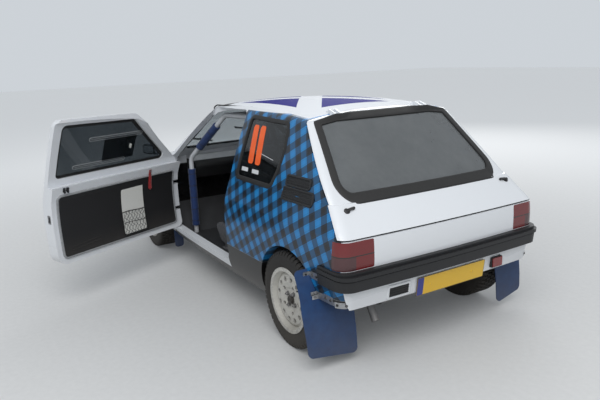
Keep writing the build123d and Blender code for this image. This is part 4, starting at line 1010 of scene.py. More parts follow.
def vent(side, front, rear_top, rear_low, low, high):
    """A louvred vent on one body side."""
    panel = f"body_side_{side}"
    start, towards = VIEWS[side]
    outline = rounded([(front, low, 0.012), (front, high, 0.012), (rear_top, high, 0.016),
                       (rear_low, low, 0.016)], 5, 0.03)
    forms = [strip_ring(outline, side, VENT_ROWS, [panel], panel), laid_sheet(outline, side, panel, 0.0012)]
    slats = 3 if high - low < 0.06 else 4
    for n in range(slats):
        z = low + (high - low) * (n + 0.8) / (slats + 0.6)
        xs = [front - 0.010 + (rear_low + 0.014 - front + 0.010) * k / 8 for k in range(9)]
        found = [land([panel], start(x, z), towards, 0.002) for x in xs]
        forms.append(swept([point for point, _ in found], SLAT, facing=[normal for _, normal in found]))
    return forms


for side in ("left", "right"):
    forms = [form for size in VENTS for form in vent(side, *size)]
    make(f"pillar_vents_{side}", forms, black_plastic, "body", "black_plastic", crease=45)
print("vents made")

# %% [markdown]
# ## Tailgate catches
# Two black push catches hold the tailgate on a rally car. Each has a round foot, a flat lever and
# the head of its pin.

# %% Tailgate catches
CATCH_Y, CATCH_Z = 0.596, 0.877


def at_surface(point, normal, along):
    """A frame on a surface: x along the panel, y across it and z outwards."""
    along = (Vector(along) - normal * normal.dot(Vector(along))).normalized()
    across = normal.cross(along)
    frame_matrix = Matrix((along, across, normal)).transposed().to_4x4()
    return Matrix.Translation(point) @ frame_matrix


def set_on(parts, matrix):
    """The same forms, placed by a matrix."""
    return [moved(part, lambda v: matrix @ Vector(v)) for part in parts]


catch = [
    turned([(0, -0.001), (0.017, -0.001), (0.017, 0.003), (0.014, 0.0055), (0, 0.0055)], sides=28),
    flat_plate(rounded([(-0.012, -0.008, 0.006), (0.050, -0.0065, 0.0055), (0.050, 0.0065, 0.0055),
                        (-0.012, 0.008, 0.006)], 5), 0.0075, 0.0120),
    turned([(0.0072, 0.004), (0.0072, 0.014), (0.0052, 0.0165), (0, 0.0170)], sides=20),
    turned([(0, -0.001), (0.0085, -0.001), (0.0085, 0.006), (0, 0.007)], (0.043, 0, 0), sides=16),
]
catch_parts = []
for sign in (1, -1):
    point, normal = land(["tailgate"], (-BEYOND_END, sign * CATCH_Y, CATCH_Z), (1, 0, 0))
    catch_parts += set_on(catch, at_surface(point, normal, (0.1, -sign, 0.12)))
make("tailgate_catches", catch_parts, dark_metal, "tailgate", "steel", bevel=0.0006)
print("catches at", [round(v, 3) for v in point])

# %% [markdown]
# ## Number plate, recess and fog lamp
# Under the bumper there is a yellow plate with a plain blue end, left bare. Left of it is a black
# recess, and right of it a red fog lamp.

# %% Number plate
PLATE_Y, PLATE_Z, PLATE_W, PLATE_H = -0.027, 0.4135, 0.520, 0.111
PLATE_HIGH, PLATE_LOW = 0.465, 0.395
BLUE_FROM, RIM_Y, RIM_Z = 0.186, 0.2562, 0.0520
plate_yellow, tree, shader = finish("plate_yellow", Coat_Weight=0.4, Coat_Roughness=0.12)
x, y, z = object_place(tree)
beads = cells(tree, 700.0)
blue_end = step_up(tree, y, BLUE_FROM, 0.0012)
rim_y = step_up(tree, apart(tree, y, PLATE_Y), RIM_Y, 0.0008)
rim_z = step_up(tree, apart(tree, z, PLATE_Z), RIM_Z, 0.0008)
colour = mixed(tree, beads, rgb(238, 186, 18), rgb(246, 200, 34))
colour = mixed(tree, blue_end, colour, rgb(18, 40, 140))
colour = mixed(tree, either(tree, rim_y, rim_z), colour, rgb(120, 96, 20))
dusted(tree, shader, colour, 0.35, 0.25, 0.6, 0.03)
bumped(tree, shader, beads, 0.0001, 0.2)


def on_valance(y, z, lift=0.0):
    """A point on the panel under the rear bumper, found from behind."""
    return land(["rear_panel"], (-BEYOND_END, y, z), (1, 0, 0), lift)[0]


top, foot = on_valance(PLATE_Y, PLATE_HIGH, 0.004), on_valance(PLATE_Y, PLATE_LOW, 0.004)
lean = (top.x - foot.x) / (PLATE_HIGH - PLATE_LOW)


def on_plate(a, b, out):
    """A point on the leaning number plate, a given distance out of it."""
    return Vector((foot.x + (b - PLATE_LOW) * lean - out, a, b))


outline = rectangle(PLATE_Y - PLATE_W / 2, PLATE_Y + PLATE_W / 2, PLATE_Z - PLATE_H / 2,
                    PLATE_Z + PLATE_H / 2, 0.010, 5)
make("number_plate", [plate(outline, lambda a, b: on_plate(a, b, 0.0), lambda a, b: on_plate(a, b, 0.003))],
     plate_yellow, "body", "body_paint", bevel=0.0008)
SCREW_CAP = [(0.0065, 0.0), (0.0065, 0.0015), (0.0045, 0.0030), (0, 0.0034)]
screw_ys = (PLATE_Y - 0.16, PLATE_Y + 0.16)
caps = [turned(SCREW_CAP, on_plate(y, PLATE_Z, 0.003), (-1, 0, 0), 20) for y in screw_ys]
pads = [block(on_plate(y, PLATE_Z, -0.014), (0.026, 0.05, 0.06)) for y in screw_ys]
make("plate_screws", caps, plate_yellow, "body", "body_paint")
make("plate_pads", pads, black_plastic, "body", "black_plastic", bevel=0.002)
print("plate leans", round(lean, 3))

# %% Recess and fog lamp
LIP = [(-0.006, -0.001), (-0.004, 0.0055), (0.004, 0.0070), (0.010, 0.0035), (0.012, -0.001)]
outline = rectangle(0.283, 0.424, 0.394, 0.459, 0.008, 4, 0.03)
lip = strip_ring(outline, "rear", LIP, ["rear_panel"], "rear_panel")
make("recess_lip", [lip], white_paint, "body", "body_paint", crease=50)
grid = [laid_sheet(outline, "rear", "rear_panel", 0.0015)]
for n in range(4):
    z = 0.404 + 0.0145 * n
    path = [on_valance(0.288 + 0.0165 * k, z, 0.002) for k in range(9)]
    grid.append(swept(path, [(-0.0022, -0.001), (0.0022, -0.001), (0.0016, 0.0028), (-0.0016, 0.0028)],
                      facing=[(-1, 0, 0)] * 9))
make("recess_back", grid, black_plastic, "body", "black_plastic", crease=50)

fog_red, tree, shader = finish("fog_red", Coat_Weight=0.8, Coat_Roughness=0.05, Roughness=0.2)
x, y, z = object_place(tree)
facets = calc(tree, "MAXIMUM", calc(tree, "PINGPONG", calc(tree, "MULTIPLY", y, 160.0), 0.5),
              calc(tree, "PINGPONG", calc(tree, "MULTIPLY", z, 160.0), 0.5))
fill(tree, shader.inputs["Base Color"], mixed(tree, facets, rgb(96, 10, 14), rgb(168, 24, 24)))
bumped(tree, shader, facets, 0.0015, 0.6)
fog_at = on_valance(-0.390, 0.431)
fog_outline = rectangle(-0.435, -0.346, 0.399, 0.463, 0.006, 4)
fog_body = upright_plate(fog_outline, fog_at.x + 0.020, fog_at.x - 0.016)
fog_lens = upright_plate(widened(fog_outline, -0.005), fog_at.x - 0.010, fog_at.x - 0.022)
make("fog_lamp_body", [fog_body], black_plastic, "body", "black_plastic", bevel=0.0015)
make("fog_lamp_lens", [fog_lens], fog_red, "body", "lamp_red", bevel=0.003)
print("fog lamp at x", round(fog_at.x, 3))

# %% [markdown]
# ## Flap brackets
# The rear mudflaps are tied to the body with bent silver plates. A plate lies on the flank with two
# bolts, and its ear turns out behind the flap with a third.

# %% Flap brackets
# Each bracket: x and z of its middle, length, height
BRACKETS = [(-1.494, 0.524, 0.066, 0.038), (-1.604, 0.428, 0.074, 0.040), (-1.684, 0.412, 0.060, 0.034)]
bright_metal = metal("bright_metal", rgb(188, 190, 193), 0.32, 0.85, 0.25)
PLATE_T = 0.0025
BOLT = [(0.0085, 0.0), (0.0085, 0.0012), (0.0062, 0.0014), (0.0062, 0.0052), (0, 0.0056)]


def flap_x(z):
    """The rear face of the rear mudflap at a height."""
    line = [(0.210, 0.552), (0.252, 0.490), (0.295, 0.415), (0.326, 0.320), (0.346, 0.200), (0.360, 0.040)]
    for (back_one, z_one), (back_two, z_two) in zip(line, line[1:]):
        if z_two <= z <= z_one:
            return AXLE_X["rear"] - back_one - (back_two - back_one) * (z_one - z) / (z_one - z_two)
    return AXLE_X["rear"] - line[-1][0]


def flank(side, x, z, lift):
    """A point on the body's flank. Just past an edge, it takes the y of the flank above it."""
    start, towards = VIEWS[side]
    for rise in (0.0, 0.01, 0.02, 0.04, 0.08):
        point, normal = land([f"body_side_{side}", "rear_panel"], start(x, z + rise), towards, lift)
        if point is not None:
            return Vector((x, point.y, z)), normal
    raise ValueError(f"no flank at {x:.3f}, {z:.3f}")


def flap_bracket(x, z, length, height, side):
    """A plate on the flank, a strap to the flap and an ear against it, with bolts."""
    sign = 1 if side == "left" else -1
    front = flap_x(z) - 0.003
    forms, bolts = [], []
    stations = [x - length / 2 + length * k / 4 for k in range(5)] + [front - 0.004]
    for i, (one, two) in enumerate(zip(stations, stations[1:])):
        half = height / 2 if i < 4 else height / 3
        corners = [flank(side, at, z + dz, lift)[0] for at in (one, two) for dz in (-half, half)
                   for lift in (0.0008, 0.0008 + PLATE_T)]
        forms.append((corners, BOX_FACES))
    root = flank(side, front, z, 0.001)[0]
    forms.append(block((front - PLATE_T / 2, root.y + sign * 0.018, z), (PLATE_T, 0.040, height * 0.66)))
    for k in (-0.28, 0.28):
        point, normal = flank(side, x + length * k, z, 0.001 + PLATE_T)
        bolts.append(turned(BOLT, point, normal, 6))
    ear_at = (front - PLATE_T, root.y + sign * 0.022, z)
    bolts.append(turned([(0.0062, 0.0), (0.0062, 0.005), (0, 0.0056)], ear_at, (-1, 0, 0), 6))
    return forms, bolts


for side in ("left", "right"):
    made = [flap_bracket(*size, side) for size in BRACKETS]
    make(f"flap_brackets_{side}", [f for forms, _ in made for f in forms], bright_metal, "body", "steel",
         bevel=0.0005)
    make(f"flap_bolts_{side}", [b for _, bolts in made for b in bolts], dark_metal, "body", "steel", crease=30)
print("brackets made")

# %% [markdown]
# ## Door trim
# The doors are stripped for rallying: a flat black card with a grey edge, a plastic window with two
# slider rails, a small latch, a red pull strap, and on the left door a pocket that holds papers. All
# of it is designed once on the closed right door, where straight rays find the surface. The left
# door's pieces are the mirror image, swung open about the hinge.

# %% From the closed right door to both doors
HINGE_AT = Vector((0.693, 0.752, 0.0))
swing = Matrix.Translation(HINGE_AT) @ Matrix.Rotation(radians(-66.0), 4, "Z") @ Matrix.Translation(-HINGE_AT)
DOOR_SKINS = ["right_door_card", "right_door", "right_door_window"]
CABIN_Y = -0.25
VIEWS["cabin"] = (lambda a, b: (a, CABIN_Y, b), (0, -1, 0))


def on_left_door(v):
    return swing @ mirror(v)


def make_door(name, parts, material, slot, sides=("left", "right"), **looks):
    """One piece on each door, from forms that are given on the closed right door."""
    for side in sides:
        forms = [moved(part, on_left_door) for part in parts] if side == "left" else parts
        make(f"{side}_{name}", forms, material, f"{side}_door", slot, **looks)


def in_door(x, z, lift=0.0):
    """A point on the inner face of the closed right door."""
    return land(DOOR_SKINS, (x, CABIN_Y, z), (0, -1, 0), lift)


CARD = rounded([(0.652, 0.358, 0.030), (0.652, 0.800, 0.030), (-0.400, 0.800, 0.030),
                (-0.400, 0.358, 0.030)], 6, 0.05)
WINDOW = rounded([(0.604, 0.912, 0.030), (0.196, 1.262, 0.055), (-0.372, 1.275, 0.035),
                  (-0.386, 0.912, 0.030)], 6, 0.04)
CARD_EDGE = [(-0.010, -0.001), (-0.009, 0.0028), (-0.001, 0.0034), (0.002, 0.0110), (0.004, 0.0060),
             (0.0045, -0.001)]
PANE_SEAL = [(-0.020, -0.001), (-0.019, 0.0032), (-0.012, 0.0052), (-0.003, 0.0056), (-0.001, -0.001)]
edge_grey = mottled("edge_grey", (noise, 50.0, 4.0), rgb(120, 122, 125), rgb(168, 170, 172), Roughness=0.5)
make_door("card_edge", [strip_ring(CARD, "cabin", CARD_EDGE, ["right_door"], "right_door_card")], edge_grey,
          "door_plastic", crease=50)
for view, label in (("cabin", "inner"), ("right", "outer")):
    make_door(f"pane_seal_{label}", [strip_ring(WINDOW, view, PANE_SEAL, ["right_door"], "right_door_window")],
              rubber_seal, "black_plastic", crease=50)
print("door rings made")

# %% Slider rails, sliding pane and knob
rail_plastic = mottled("rail_plastic", (noise, 220.0, 4.0), rgb(96, 100, 102), rgb(150, 154, 156),
                       dust=(0.35, 0.0, 0.4, 0.06), Coat_Weight=0.3, Coat_Roughness=0.2)
knob_white = mottled("knob_white", (noise, 150.0, 4.0), rgb(196, 196, 190), rgb(226, 226, 220),
                     gloss=(0.3, 0.3), Coat_Weight=0.3)
# Each rail: low x, high x, z
RAILS = [(-0.136, 0.305, 1.150), (-0.244, 0.190, 0.968)]
RAIL_LIP = [(-0.0035, -0.001), (-0.0030, 0.0050), (0.0008, 0.0056), (0.0032, 0.0034), (0.0036, -0.001)]
SLOT = [(-0.003, -0.001), (0.003, -0.001), (0.0022, 0.0026), (-0.0022, 0.0026)]
rails = []
for low_x, high_x, z in RAILS:
    capsule = rectangle(low_x, high_x, z - 0.012, z + 0.012, 0.0115, 6, 0.04)
    rails.append(strip_ring(capsule, "cabin", RAIL_LIP, ["right_door_window"], "right_door_window"))
    inner = [(low_x + 0.012 + (high_x - low_x - 0.024) * k / 12) for k in range(13)]
    path = [in_door(x, z, 0.002)[0] for x in inner]
    rails.append(swept(path, SLOT, facing=[in_door(x, z)[1] for x in inner]))
make_door("slider_rails", rails, rail_plastic, "glass", crease=45)
sliding = laid_sheet(rectangle(-0.010, 0.262, 0.976, 1.142, 0.006, 3, 0.03), "cabin", "right_door_window",
                     0.003, 0.0022)
make_door("sliding_pane", [sliding], side_glass, "glass", crease=50)
at, normal = in_door(0.219, 1.063, 0.0052)
knob = [flat_plate(rectangle(-0.006, 0.006, -0.017, 0.017, 0.0055, 5), 0.0, 0.013)]
make_door("slider_knob", set_on(knob, at_surface(at, normal, (1, 0, 0))), knob_white, "glass", bevel=0.002)

# %% Belt latch and strap
LATCH_BLOCKS = [block((0, 0, 0.006), (0.015, 0.030, 0.014)), block((0, 0.012, 0.014), (0.009, 0.016, 0.010))]
latch = []
for x in (-0.352, -0.326):
    at, normal = in_door(x, 0.838)
    latch += set_on(LATCH_BLOCKS, at_surface(at, normal, (1, 0, 0)))
make_door("belt_latch", latch, black_plastic, "black_plastic", bevel=0.0015)
strap_red = mottled("strap_red", (threads, 320.0, 0.4, "Z"), rgb(112, 12, 14), rgb(176, 26, 26),
                    bump=(0.0006, 0.6), Roughness=0.75, Sheen_Weight=0.3)


def webbing(half_width, half_thick, bulge):
    """The section of a flat woven strap, a little wider in its middle."""
    return [(-half_width, -half_thick), (half_width, -half_thick), (half_width + bulge, 0.0),
            (half_width, half_thick), (-half_width, half_thick), (-half_width - bulge, 0.0)]


path = []
for k in range(15):
    share = k / 14
    z = 0.842 - 0.150 * sin(pi * min(share, 0.5)) if share <= 0.5 else 0.692 + 0.150 * (1 - sin(pi * share))
    at, normal = in_door(0.400 + 0.004 * share, z)
    path.append(at + Vector((0, 0.0035 + (0.016 * sin(pi * share) if share > 0.5 else 0.004), 0)))
strap = swept(path, webbing(0.0115, 0.0009, 0.0006), facing=[(0, 1, 0)] * len(path))
make_door("pull_strap", [strap], strap_red, "seat_fabric", crease=60)
screw_at, screw_normal = in_door(0.402, 0.834, 0.004)
screw = turned([(0.009, 0.0), (0.009, 0.003), (0.006, 0.0055), (0, 0.006)], screw_at, screw_normal, 20)
make_door("strap_screw", [screw], steel, "steel")
print("latch and strap made")

# %% Document pocket on the left door
paper = mottled("paper", (noise, 260.0, 5.0), rgb(206, 206, 200), rgb(228, 228, 224), bump=(0.0002, 0.4),
                Roughness=0.85)
PAPER_X, PAPER_Z = 0.232, 0.560
sheets = []
for n, (lean, shift, rise) in enumerate([(0.012, 0.004, 0.010), (-0.020, -0.006, 0.0), (0.004, 0.0, -0.004)]):
    corners = []
    for dx, dz in ((-0.100, -0.165), (0.100, -0.165), (0.100, 0.165), (-0.100, 0.165)):
        corner_x = PAPER_X + shift + dx * cos(lean) - dz * sin(lean)
        corners.append((corner_x, PAPER_Z + rise + dx * sin(lean) + dz * cos(lean), 0.004))
    lift = 0.0015 + 0.0016 * n
    sheets.append(laid_sheet(rounded(corners, 3, 0.04), "cabin", "right_door_card", 0.0012, lift))
make_door("papers", sheets, paper, "door_plastic", sides=("left",), crease=50)
net_cord = mottled("net_cord", (threads, 500.0), rgb(8, 8, 9), rgb(34, 36, 38), bump=(0.0004, 0.5),
                   Roughness=0.85)
NET_LOW, NET_HIGH, NET_HALF = 0.380, 0.560, 0.112
net = []
for tilt in (1, -1):
    for n in range(-6, 7):
        path = []
        for k in range(13):
            z = NET_LOW + (NET_HIGH - NET_LOW) * k / 12
            wave = 0.006 * sin(k * 1.9 + n)
            x = PAPER_X + n * 0.030 + tilt * (z - NET_LOW) * 0.62 + wave
            if abs(x - PAPER_X) <= NET_HALF:
                path.append(in_door(x, z, 0.0085)[0])
        if len(path) > 2:
            net.append(swept(path, oval(0.0024, 0.0024, 6)))
for z, thick in ((NET_HIGH, 0.006), (NET_LOW, 0.005), (0.475, 0.0035)):
    xs = [PAPER_X - NET_HALF - 0.004 + (2 * NET_HALF + 0.008) * k / 10 for k in range(11)]
    path = [in_door(x, z + 0.004 * sin(k * 0.6), 0.0088)[0] for k, x in enumerate(xs)]
    net.append(swept(path, oval(thick, thick * 0.8, 8)))
for x in (PAPER_X - NET_HALF, PAPER_X + NET_HALF):
    path = [in_door(x, NET_LOW + (NET_HIGH - NET_LOW) * k / 6, 0.0082)[0] for k in range(7)]
    net.append(swept(path, oval(0.0045, 0.0035, 8)))
make_door("pocket_net", net, net_cord, "door_plastic", sides=("left",), crease=80)
print("pocket net strands", len(net))

# %% Ribs low on the card, and the lock at the door's rear edge
ribs = []
for z in (0.402, 0.424):
    xs = [-0.330 + 0.24 * k / 8 for k in range(9)]
    ribs.append(swept([in_door(x, z + 0.015 * k / 8, 0.0)[0] for k, x in enumerate(xs)], oval(0.008, 0.006, 10),
                      facing=[(0, 1, 0)] * 9))
make_door("card_ribs", ribs, door_plastic, "door_plastic", crease=60)
lock_at, lock_normal = land(["right_door"], (-0.9, -0.715, 0.640), (1, 0, 0))
lock = [flat_plate(rectangle(-0.030, 0.030, -0.016, 0.016, 0.006, 4), -0.0005, 0.0015)]
claw = [block((0.004, 0.004, 0.0016), (0.030, 0.014, 0.0040)),
        block((-0.014, -0.002, 0.0014), (0.010, 0.022, 0.0040))]
screws = [turned([(0.0042, 0.0), (0.0042, 0.0024), (0, 0.0030)], (x, y, 0), sides=12)
          for x, y in ((-0.024, 0.010), (0.024, 0.010), (0.024, -0.010))]
lock_place = at_surface(lock_at, lock_normal, (0, 0, 1))
make_door("lock_plate", set_on(lock + screws, lock_place), steel, "steel", bevel=0.0006)
make_door("lock_claw", set_on(claw, lock_place), black_plastic, "black_plastic", bevel=0.002)
print("lock at", [round(v, 3) for v in lock_at])

# %% [markdown]
# ## Mirror glass
# The mirror's shell is CAD. The glass is a thin silvered plate on its rear face, with a black rim.

# %% Mirror glass
mirror_silver = mottled("mirror_silver", (noise, 12.0, 6.0), rgb(196, 200, 204), rgb(218, 222, 226),
                        gloss=(0.0, 0.14), Metallic=1.0)
MIRROR_X, MIRROR_Y, MIRROR_Z = 0.560, -0.817, 0.970
# Each plate: name, finish, half width, half height, corner radius, how far its face stands out
MIRROR_PLATES = [("mirror_rim", black_plastic, 0.064, 0.036, 0.018, 0.003),
                 ("mirror_glass", mirror_silver, 0.058, 0.030, 0.014, 0.0045)]
for name, material, half_y, half_z, radius, out in MIRROR_PLATES:
    outline = rectangle(MIRROR_Y - half_y, MIRROR_Y + half_y, MIRROR_Z - half_z, MIRROR_Z + half_z, radius)
    form = upright_plate(outline, MIRROR_X + 0.002, MIRROR_X - out)
    make_door(name, [form], material, "black_plastic", bevel=0.001)
print("mirrors glazed")

# %% [markdown]
# ## Rubber round the door openings
# A soft black tube runs round each door opening, just inside the shut line, so that the door presses
# on it. It is swept along the opening's outline, a little outside it, and lies on the inner face of
# the body side, which rays from the cabin find. Where they pass through a gap, a short table of the
# body's width stands in.

# %% Door opening rubber
DOOR_LINE = rounded([(0.708, 0.318, 0.045), (0.708, 0.872, 0.090), (0.205, 1.302, 0.060),
                     (-0.428, 1.316, 0.045), (-0.440, 0.880, 0.200), (-0.440, 0.318, 0.070)], 6, 0.05)
RUBBER_OUT, RUBBER_LIFT, RUBBER_D = 0.0160, 0.0035, 0.010
# The body side's inner face: height, distance from the centre plane
INNER_FACE = [(0.20, 0.640), (0.30, 0.689), (0.43, 0.708), (0.60, 0.715), (0.762, 0.702), (0.905, 0.664),
              (1.105, 0.592), (1.40, 0.457)]


def rubber_depth(z):
    """How far out the inner face lies, for the few points where no ray finds it."""
    for (z_low, y_low), (z_high, y_high) in zip(INNER_FACE, INNER_FACE[1:]):
        if z <= z_high:
            return y_low + (y_high - y_low) * (z - z_low) / (z_high - z_low)
    return INNER_FACE[-1][1]


for side, sign in (("left", 1), ("right", -1)):
    path = []
    for x, z in widened(DOOR_LINE, RUBBER_OUT):
        at = land([f"body_side_{side}"], (x, sign * 0.3, z), (0, sign, 0), RUBBER_LIFT)[0]
        path.append(at or Vector((x, sign * rubber_depth(z), z)))
    tube = swept(path, oval(RUBBER_D, RUBBER_D, 10), closed=True)
    make(f"opening_rubber_{side}", [tube], rubber_seal, "body", "black_plastic", crease=80)
print("opening rubbers made,", len(path), "points round each opening")

# %% [markdown]
# ## Seats
# A rally bucket is a hard moulded shell with loose foam pads held on by tape. The shell is CAD and
# stays as it is. The pads are sewn covers over foam, so each starts as a rounded slab and is then
# blown up gently as cloth, which gives it the soft crown and pulled corners of a stuffed cover.

# %% Cloth pass
def remade(piece):
    """Replace the piece's mesh by what its modifiers make of it."""
    graph = bpy.context.evaluated_depsgraph_get()
    result = bpy.data.meshes.new_from_object(piece.evaluated_get(graph))
    piece.modifiers.clear()
    piece.data = result


VOXEL, CLOTH_FRAMES, PRESSURE = 0.006, 20, 4.0


def stuffed(piece, most):
    """Blow a closed cover up by cloth simulation, but move no point further than the given distance."""
    voxels = piece.modifiers.new("voxels", "REMESH")
    voxels.voxel_size = VOXEL
    remade(piece)
    cloth = piece.modifiers.new("stuffing", "CLOTH")
    cloth.settings.use_pressure = True
    cloth.settings.uniform_pressure_force = PRESSURE
    cloth.settings.effector_weights.gravity = 0.0
    cloth.point_cache.frame_end = CLOTH_FRAMES
    start = [v.co.copy() for v in piece.data.vertices]
    for frame_number in range(1, CLOTH_FRAMES + 1):
        bpy.context.scene.frame_set(frame_number)
    blown = piece.evaluated_get(bpy.context.evaluated_depsgraph_get()).data
    for vertex, old, new in zip(piece.data.vertices, start, [v.co.copy() for v in blown.vertices]):
        step = new - old
        vertex.co = old + step * min(1.0, most / max(step.length, 1e-9))
    piece.modifiers.clear()
    bpy.context.scene.frame_set(1)
    piece.modifiers.new("smooth", "SUBSURF").levels = 1
    remade(piece)
    for face in piece.data.polygons:
        face.use_smooth = True


# %% Seat pads
SEAT_MIDDLE_Y = 0.350


def seat_pad(name, centre, size, lean, bulge):
    """One pad for the right seat and a copy for the left. Its face looks forward or up, as it leans."""
    half_x, half_y = size[0] / 2, size[1] / 2
    radius = min(0.035, half_x * 0.7, half_y * 0.7)
    slab = flat_plate(rectangle(-half_x, half_x, -half_y, half_y, radius, 6, 0.03), -size[2] / 2, size[2] / 2)
    turn = Matrix.Translation(Vector(centre)) @ Matrix.Rotation(lean, 4, "Y")
    right = make(f"right_{name}", [moved(slab, lambda v: turn @ v)], seat_cloth, "body", "seat_fabric",
                 bevel=0.010, crease=80)
    stuffed(right, bulge)
    copy = ([v.co + Vector((0, 2 * SEAT_MIDDLE_Y, 0)) for v in right.data.vertices],
            [tuple(f.vertices) for f in right.data.polygons])
    left = make(f"left_{name}", [copy], seat_cloth, "body", "seat_fabric", crease=80)
    print(name, len(right.data.vertices), "points")


back_lean = atan2(176, 688)  # the backrest goes back 176 mm in its height of 688 mm


def on_back(z, off):
    """A point in front of the right seat's backrest."""
    return (-0.222 - 0.2558 * (z - 0.322) + off * cos(back_lean), -SEAT_MIDDLE_Y, z + off * sin(back_lean))


seat_pad("seat_base_pad", (0.000, -SEAT_MIDDLE_Y, 0.362), (0.330, 0.300, 0.040), radians(-1.6), 0.016)
seat_pad("seat_lumbar_pad", on_back(0.505, 0.024), (0.165, 0.270, 0.034), radians(90) - back_lean, 0.012)
seat_pad("seat_back_pad", on_back(0.735, 0.024), (0.235, 0.285, 0.034), radians(90) - back_lean, 0.014)
seat_pad("seat_head_pad", on_back(0.968, 0.022), (0.110, 0.165, 0.028), radians(90) - back_lean, 0.010)

# %% [markdown]
# ## Harness
# Two shoulder straps come through the slots in the seat, meet two lap straps at a round buckle, and
# are anchored behind the seat. Webbing keeps its width, so it is modelled directly as a flat strip
# swept along its path.

# %% Harness straps and buckle
harness_web = mottled("harness_web", (threads, 260.0, 0.3, "Z"), rgb(10, 30, 84), rgb(20, 52, 122),
                      bump=(0.0005, 0.5), Roughness=0.8, Sheen_Weight=0.3)
STRAP = webbing(0.024, 0.0011, 0.0008)
BELT_FACING = (0.5, 0, 0.85)
# Both paths as x, z and distance from the middle of the seat
LAP = [(-0.160, 0.395, 0.150), (-0.130, 0.412, 0.120), (-0.110, 0.424, 0.075), (-0.104, 0.430, 0.030)]
SHOULDER = [(-0.500, 0.268, 0.072), (-0.492, 0.420, 0.072), (-0.484, 0.620, 0.072), (-0.474, 0.800, 0.072),
            (-0.452, 0.868, 0.072), (-0.410, 0.884, 0.072), (-0.366, 0.884, 0.072), (-0.322, 0.862, 0.072),
            (-0.300, 0.790, 0.071), (-0.280, 0.720, 0.069), (-0.252, 0.600, 0.060), (-0.225, 0.520, 0.048),
            (-0.190, 0.462, 0.036), (-0.130, 0.428, 0.024)]
for side, sign in (("left", 1), ("right", -1)):
    middle = sign * SEAT_MIDDLE_Y
    webs, buckle = [], []
    for hand in (1, -1):
        path = [Vector((x, middle + hand * off, z)) for x, z, off in SHOULDER]
        facing = []
        for k, point in enumerate(path):
            ahead = (path[min(k + 1, len(path) - 1)] - path[max(k - 1, 0)]).normalized()
            facing.append(ahead.cross(Vector((0, 1, 0))) * -1)
        webs.append(swept(path, STRAP, facing=facing))
        lap = [Vector((x, middle + hand * off, z)) for x, z, off in LAP]
        webs.append(swept(lap, STRAP, facing=[BELT_FACING] * len(lap)))
        buckle.append(block((-0.352, middle + hand * 0.072, 0.8845), (0.006, 0.062, 0.010)))
    hub = Vector((-0.104, middle, 0.434))
    buckle.append(turned([(0.034, 0.0), (0.034, 0.012), (0.030, 0.018), (0.016, 0.020), (0.016, 0.026),
                          (0, 0.027)], hub, BELT_FACING, 28))
    make(f"{side}_harness", webs, harness_web, "body", "seat_fabric", crease=60)
    make(f"{side}_buckle", buckle, steel, "body", "steel", bevel=0.001)
print("harnesses made")

# %% [markdown]
# ## Dashboard, steering wheel and controls
# The dashboard has a switch panel in its middle with rows of small blue rockers, and two round
# instruments in front of the driver. All of it sits on the CAD faces, found by straight rays.

# %% Switches and instruments
switch_blue = mottled("switch_blue", (noise, 60.0, 5.0), rgb(18, 66, 150), rgb(40, 110, 200),
                      gloss=(0.25, 0.3), Coat_Weight=0.4)
dial_face = mottled("dial_face", (noise, 90.0, 5.0), rgb(8, 8, 9), rgb(24, 24, 26), Coat_Weight=0.8,
                    Coat_Roughness=0.05, Roughness=0.5)
rocker_tilt, needle_turn = Matrix.Rotation(0.25, 3, "X"), Matrix.Rotation(0.8, 3, "Z")
rockers, holders = [], []
for row in range(3):
    for column in range(5):
        at, normal = land(["dashboard"], (0.40, -0.096 + 0.048 * column, 0.752 - 0.036 * row), (1, 0, 0))
        on_panel = at_surface(at, normal, (0, 1, 0))
        holders += set_on([block((0, 0, 0.001), (0.030, 0.022, 0.005))], on_panel)
        rockers += set_on([block((0, 0.003, 0.005), (0.020, 0.012, 0.007), rocker_tilt)], on_panel)
make("switch_rockers", rockers, switch_blue, "body", "black_plastic", bevel=0.001)
make("switch_holders", holders, black_plastic, "body", "black_plastic", bevel=0.0008)
rings, faces, needles = [], [], []
DIAL_RING = [(0.030, 0.001), (0.0345, 0.001), (0.0345, 0.010), (0.0325, 0.012), (0.030, 0.009)]
for y in (-0.295, -0.390):
    at, normal = land(["dashboard"], (0.42, y, 0.846), (1, 0, 0))
    on_hood = at_surface(at, normal, (0, 1, 0))
    rings += set_on([turned(DIAL_RING, sides=36, closed=True)], on_hood)
    faces += set_on([turned([(0.0305, 0.0), (0.0305, 0.003), (0, 0.003)], sides=36)], on_hood)
    needles += set_on([block((0.008, 0.008, 0.0045), (0.024, 0.0018, 0.001), needle_turn)], on_hood)
make("dial_rings", rings, steel, "body", "steel", crease=45)
make("dial_faces", faces, dial_face, "body", "black_plastic")
make("dial_needles", needles, knob_white, "body", "black_plastic")
print("switches", len(rockers), "dials", len(faces))

# %% Steering wheel boss and marker
wheel_axis = Vector((-cos(radians(25)), 0, sin(radians(25))))
WHEEL_CENTRE = Vector((0.345, -0.350, 0.790))
GRIP_R, SEAM_R = 0.170, 0.1567
BUTTON = [(0.033, 0.0215), (0.033, 0.026), (0.030, 0.031), (0.012, 0.034), (0, 0.0345)]
button = turned(BUTTON, WHEEL_CENTRE, wheel_axis)
make("horn_button", [button], black_plastic, "steering_wheel", "black_plastic")
on_wheel = at_surface(WHEEL_CENTRE, wheel_axis, (0, 1, 0))


def on_rim(radius, angle):
    return on_wheel @ Vector((radius * cos(angle), radius * sin(angle), 0))


band = swept([on_rim(GRIP_R, pi / 2 + radians(a)) for a in range(-5, 6)], oval(0.0296, 0.0296, 24))
seam = swept([on_rim(SEAM_R, tau * k / 96) for k in range(96)], oval(0.0022, 0.0022, 6), closed=True)
make("wheel_marker", [band, seam], switch_blue, "steering_wheel", "black_plastic", crease=70)
print("steering wheel dressed")

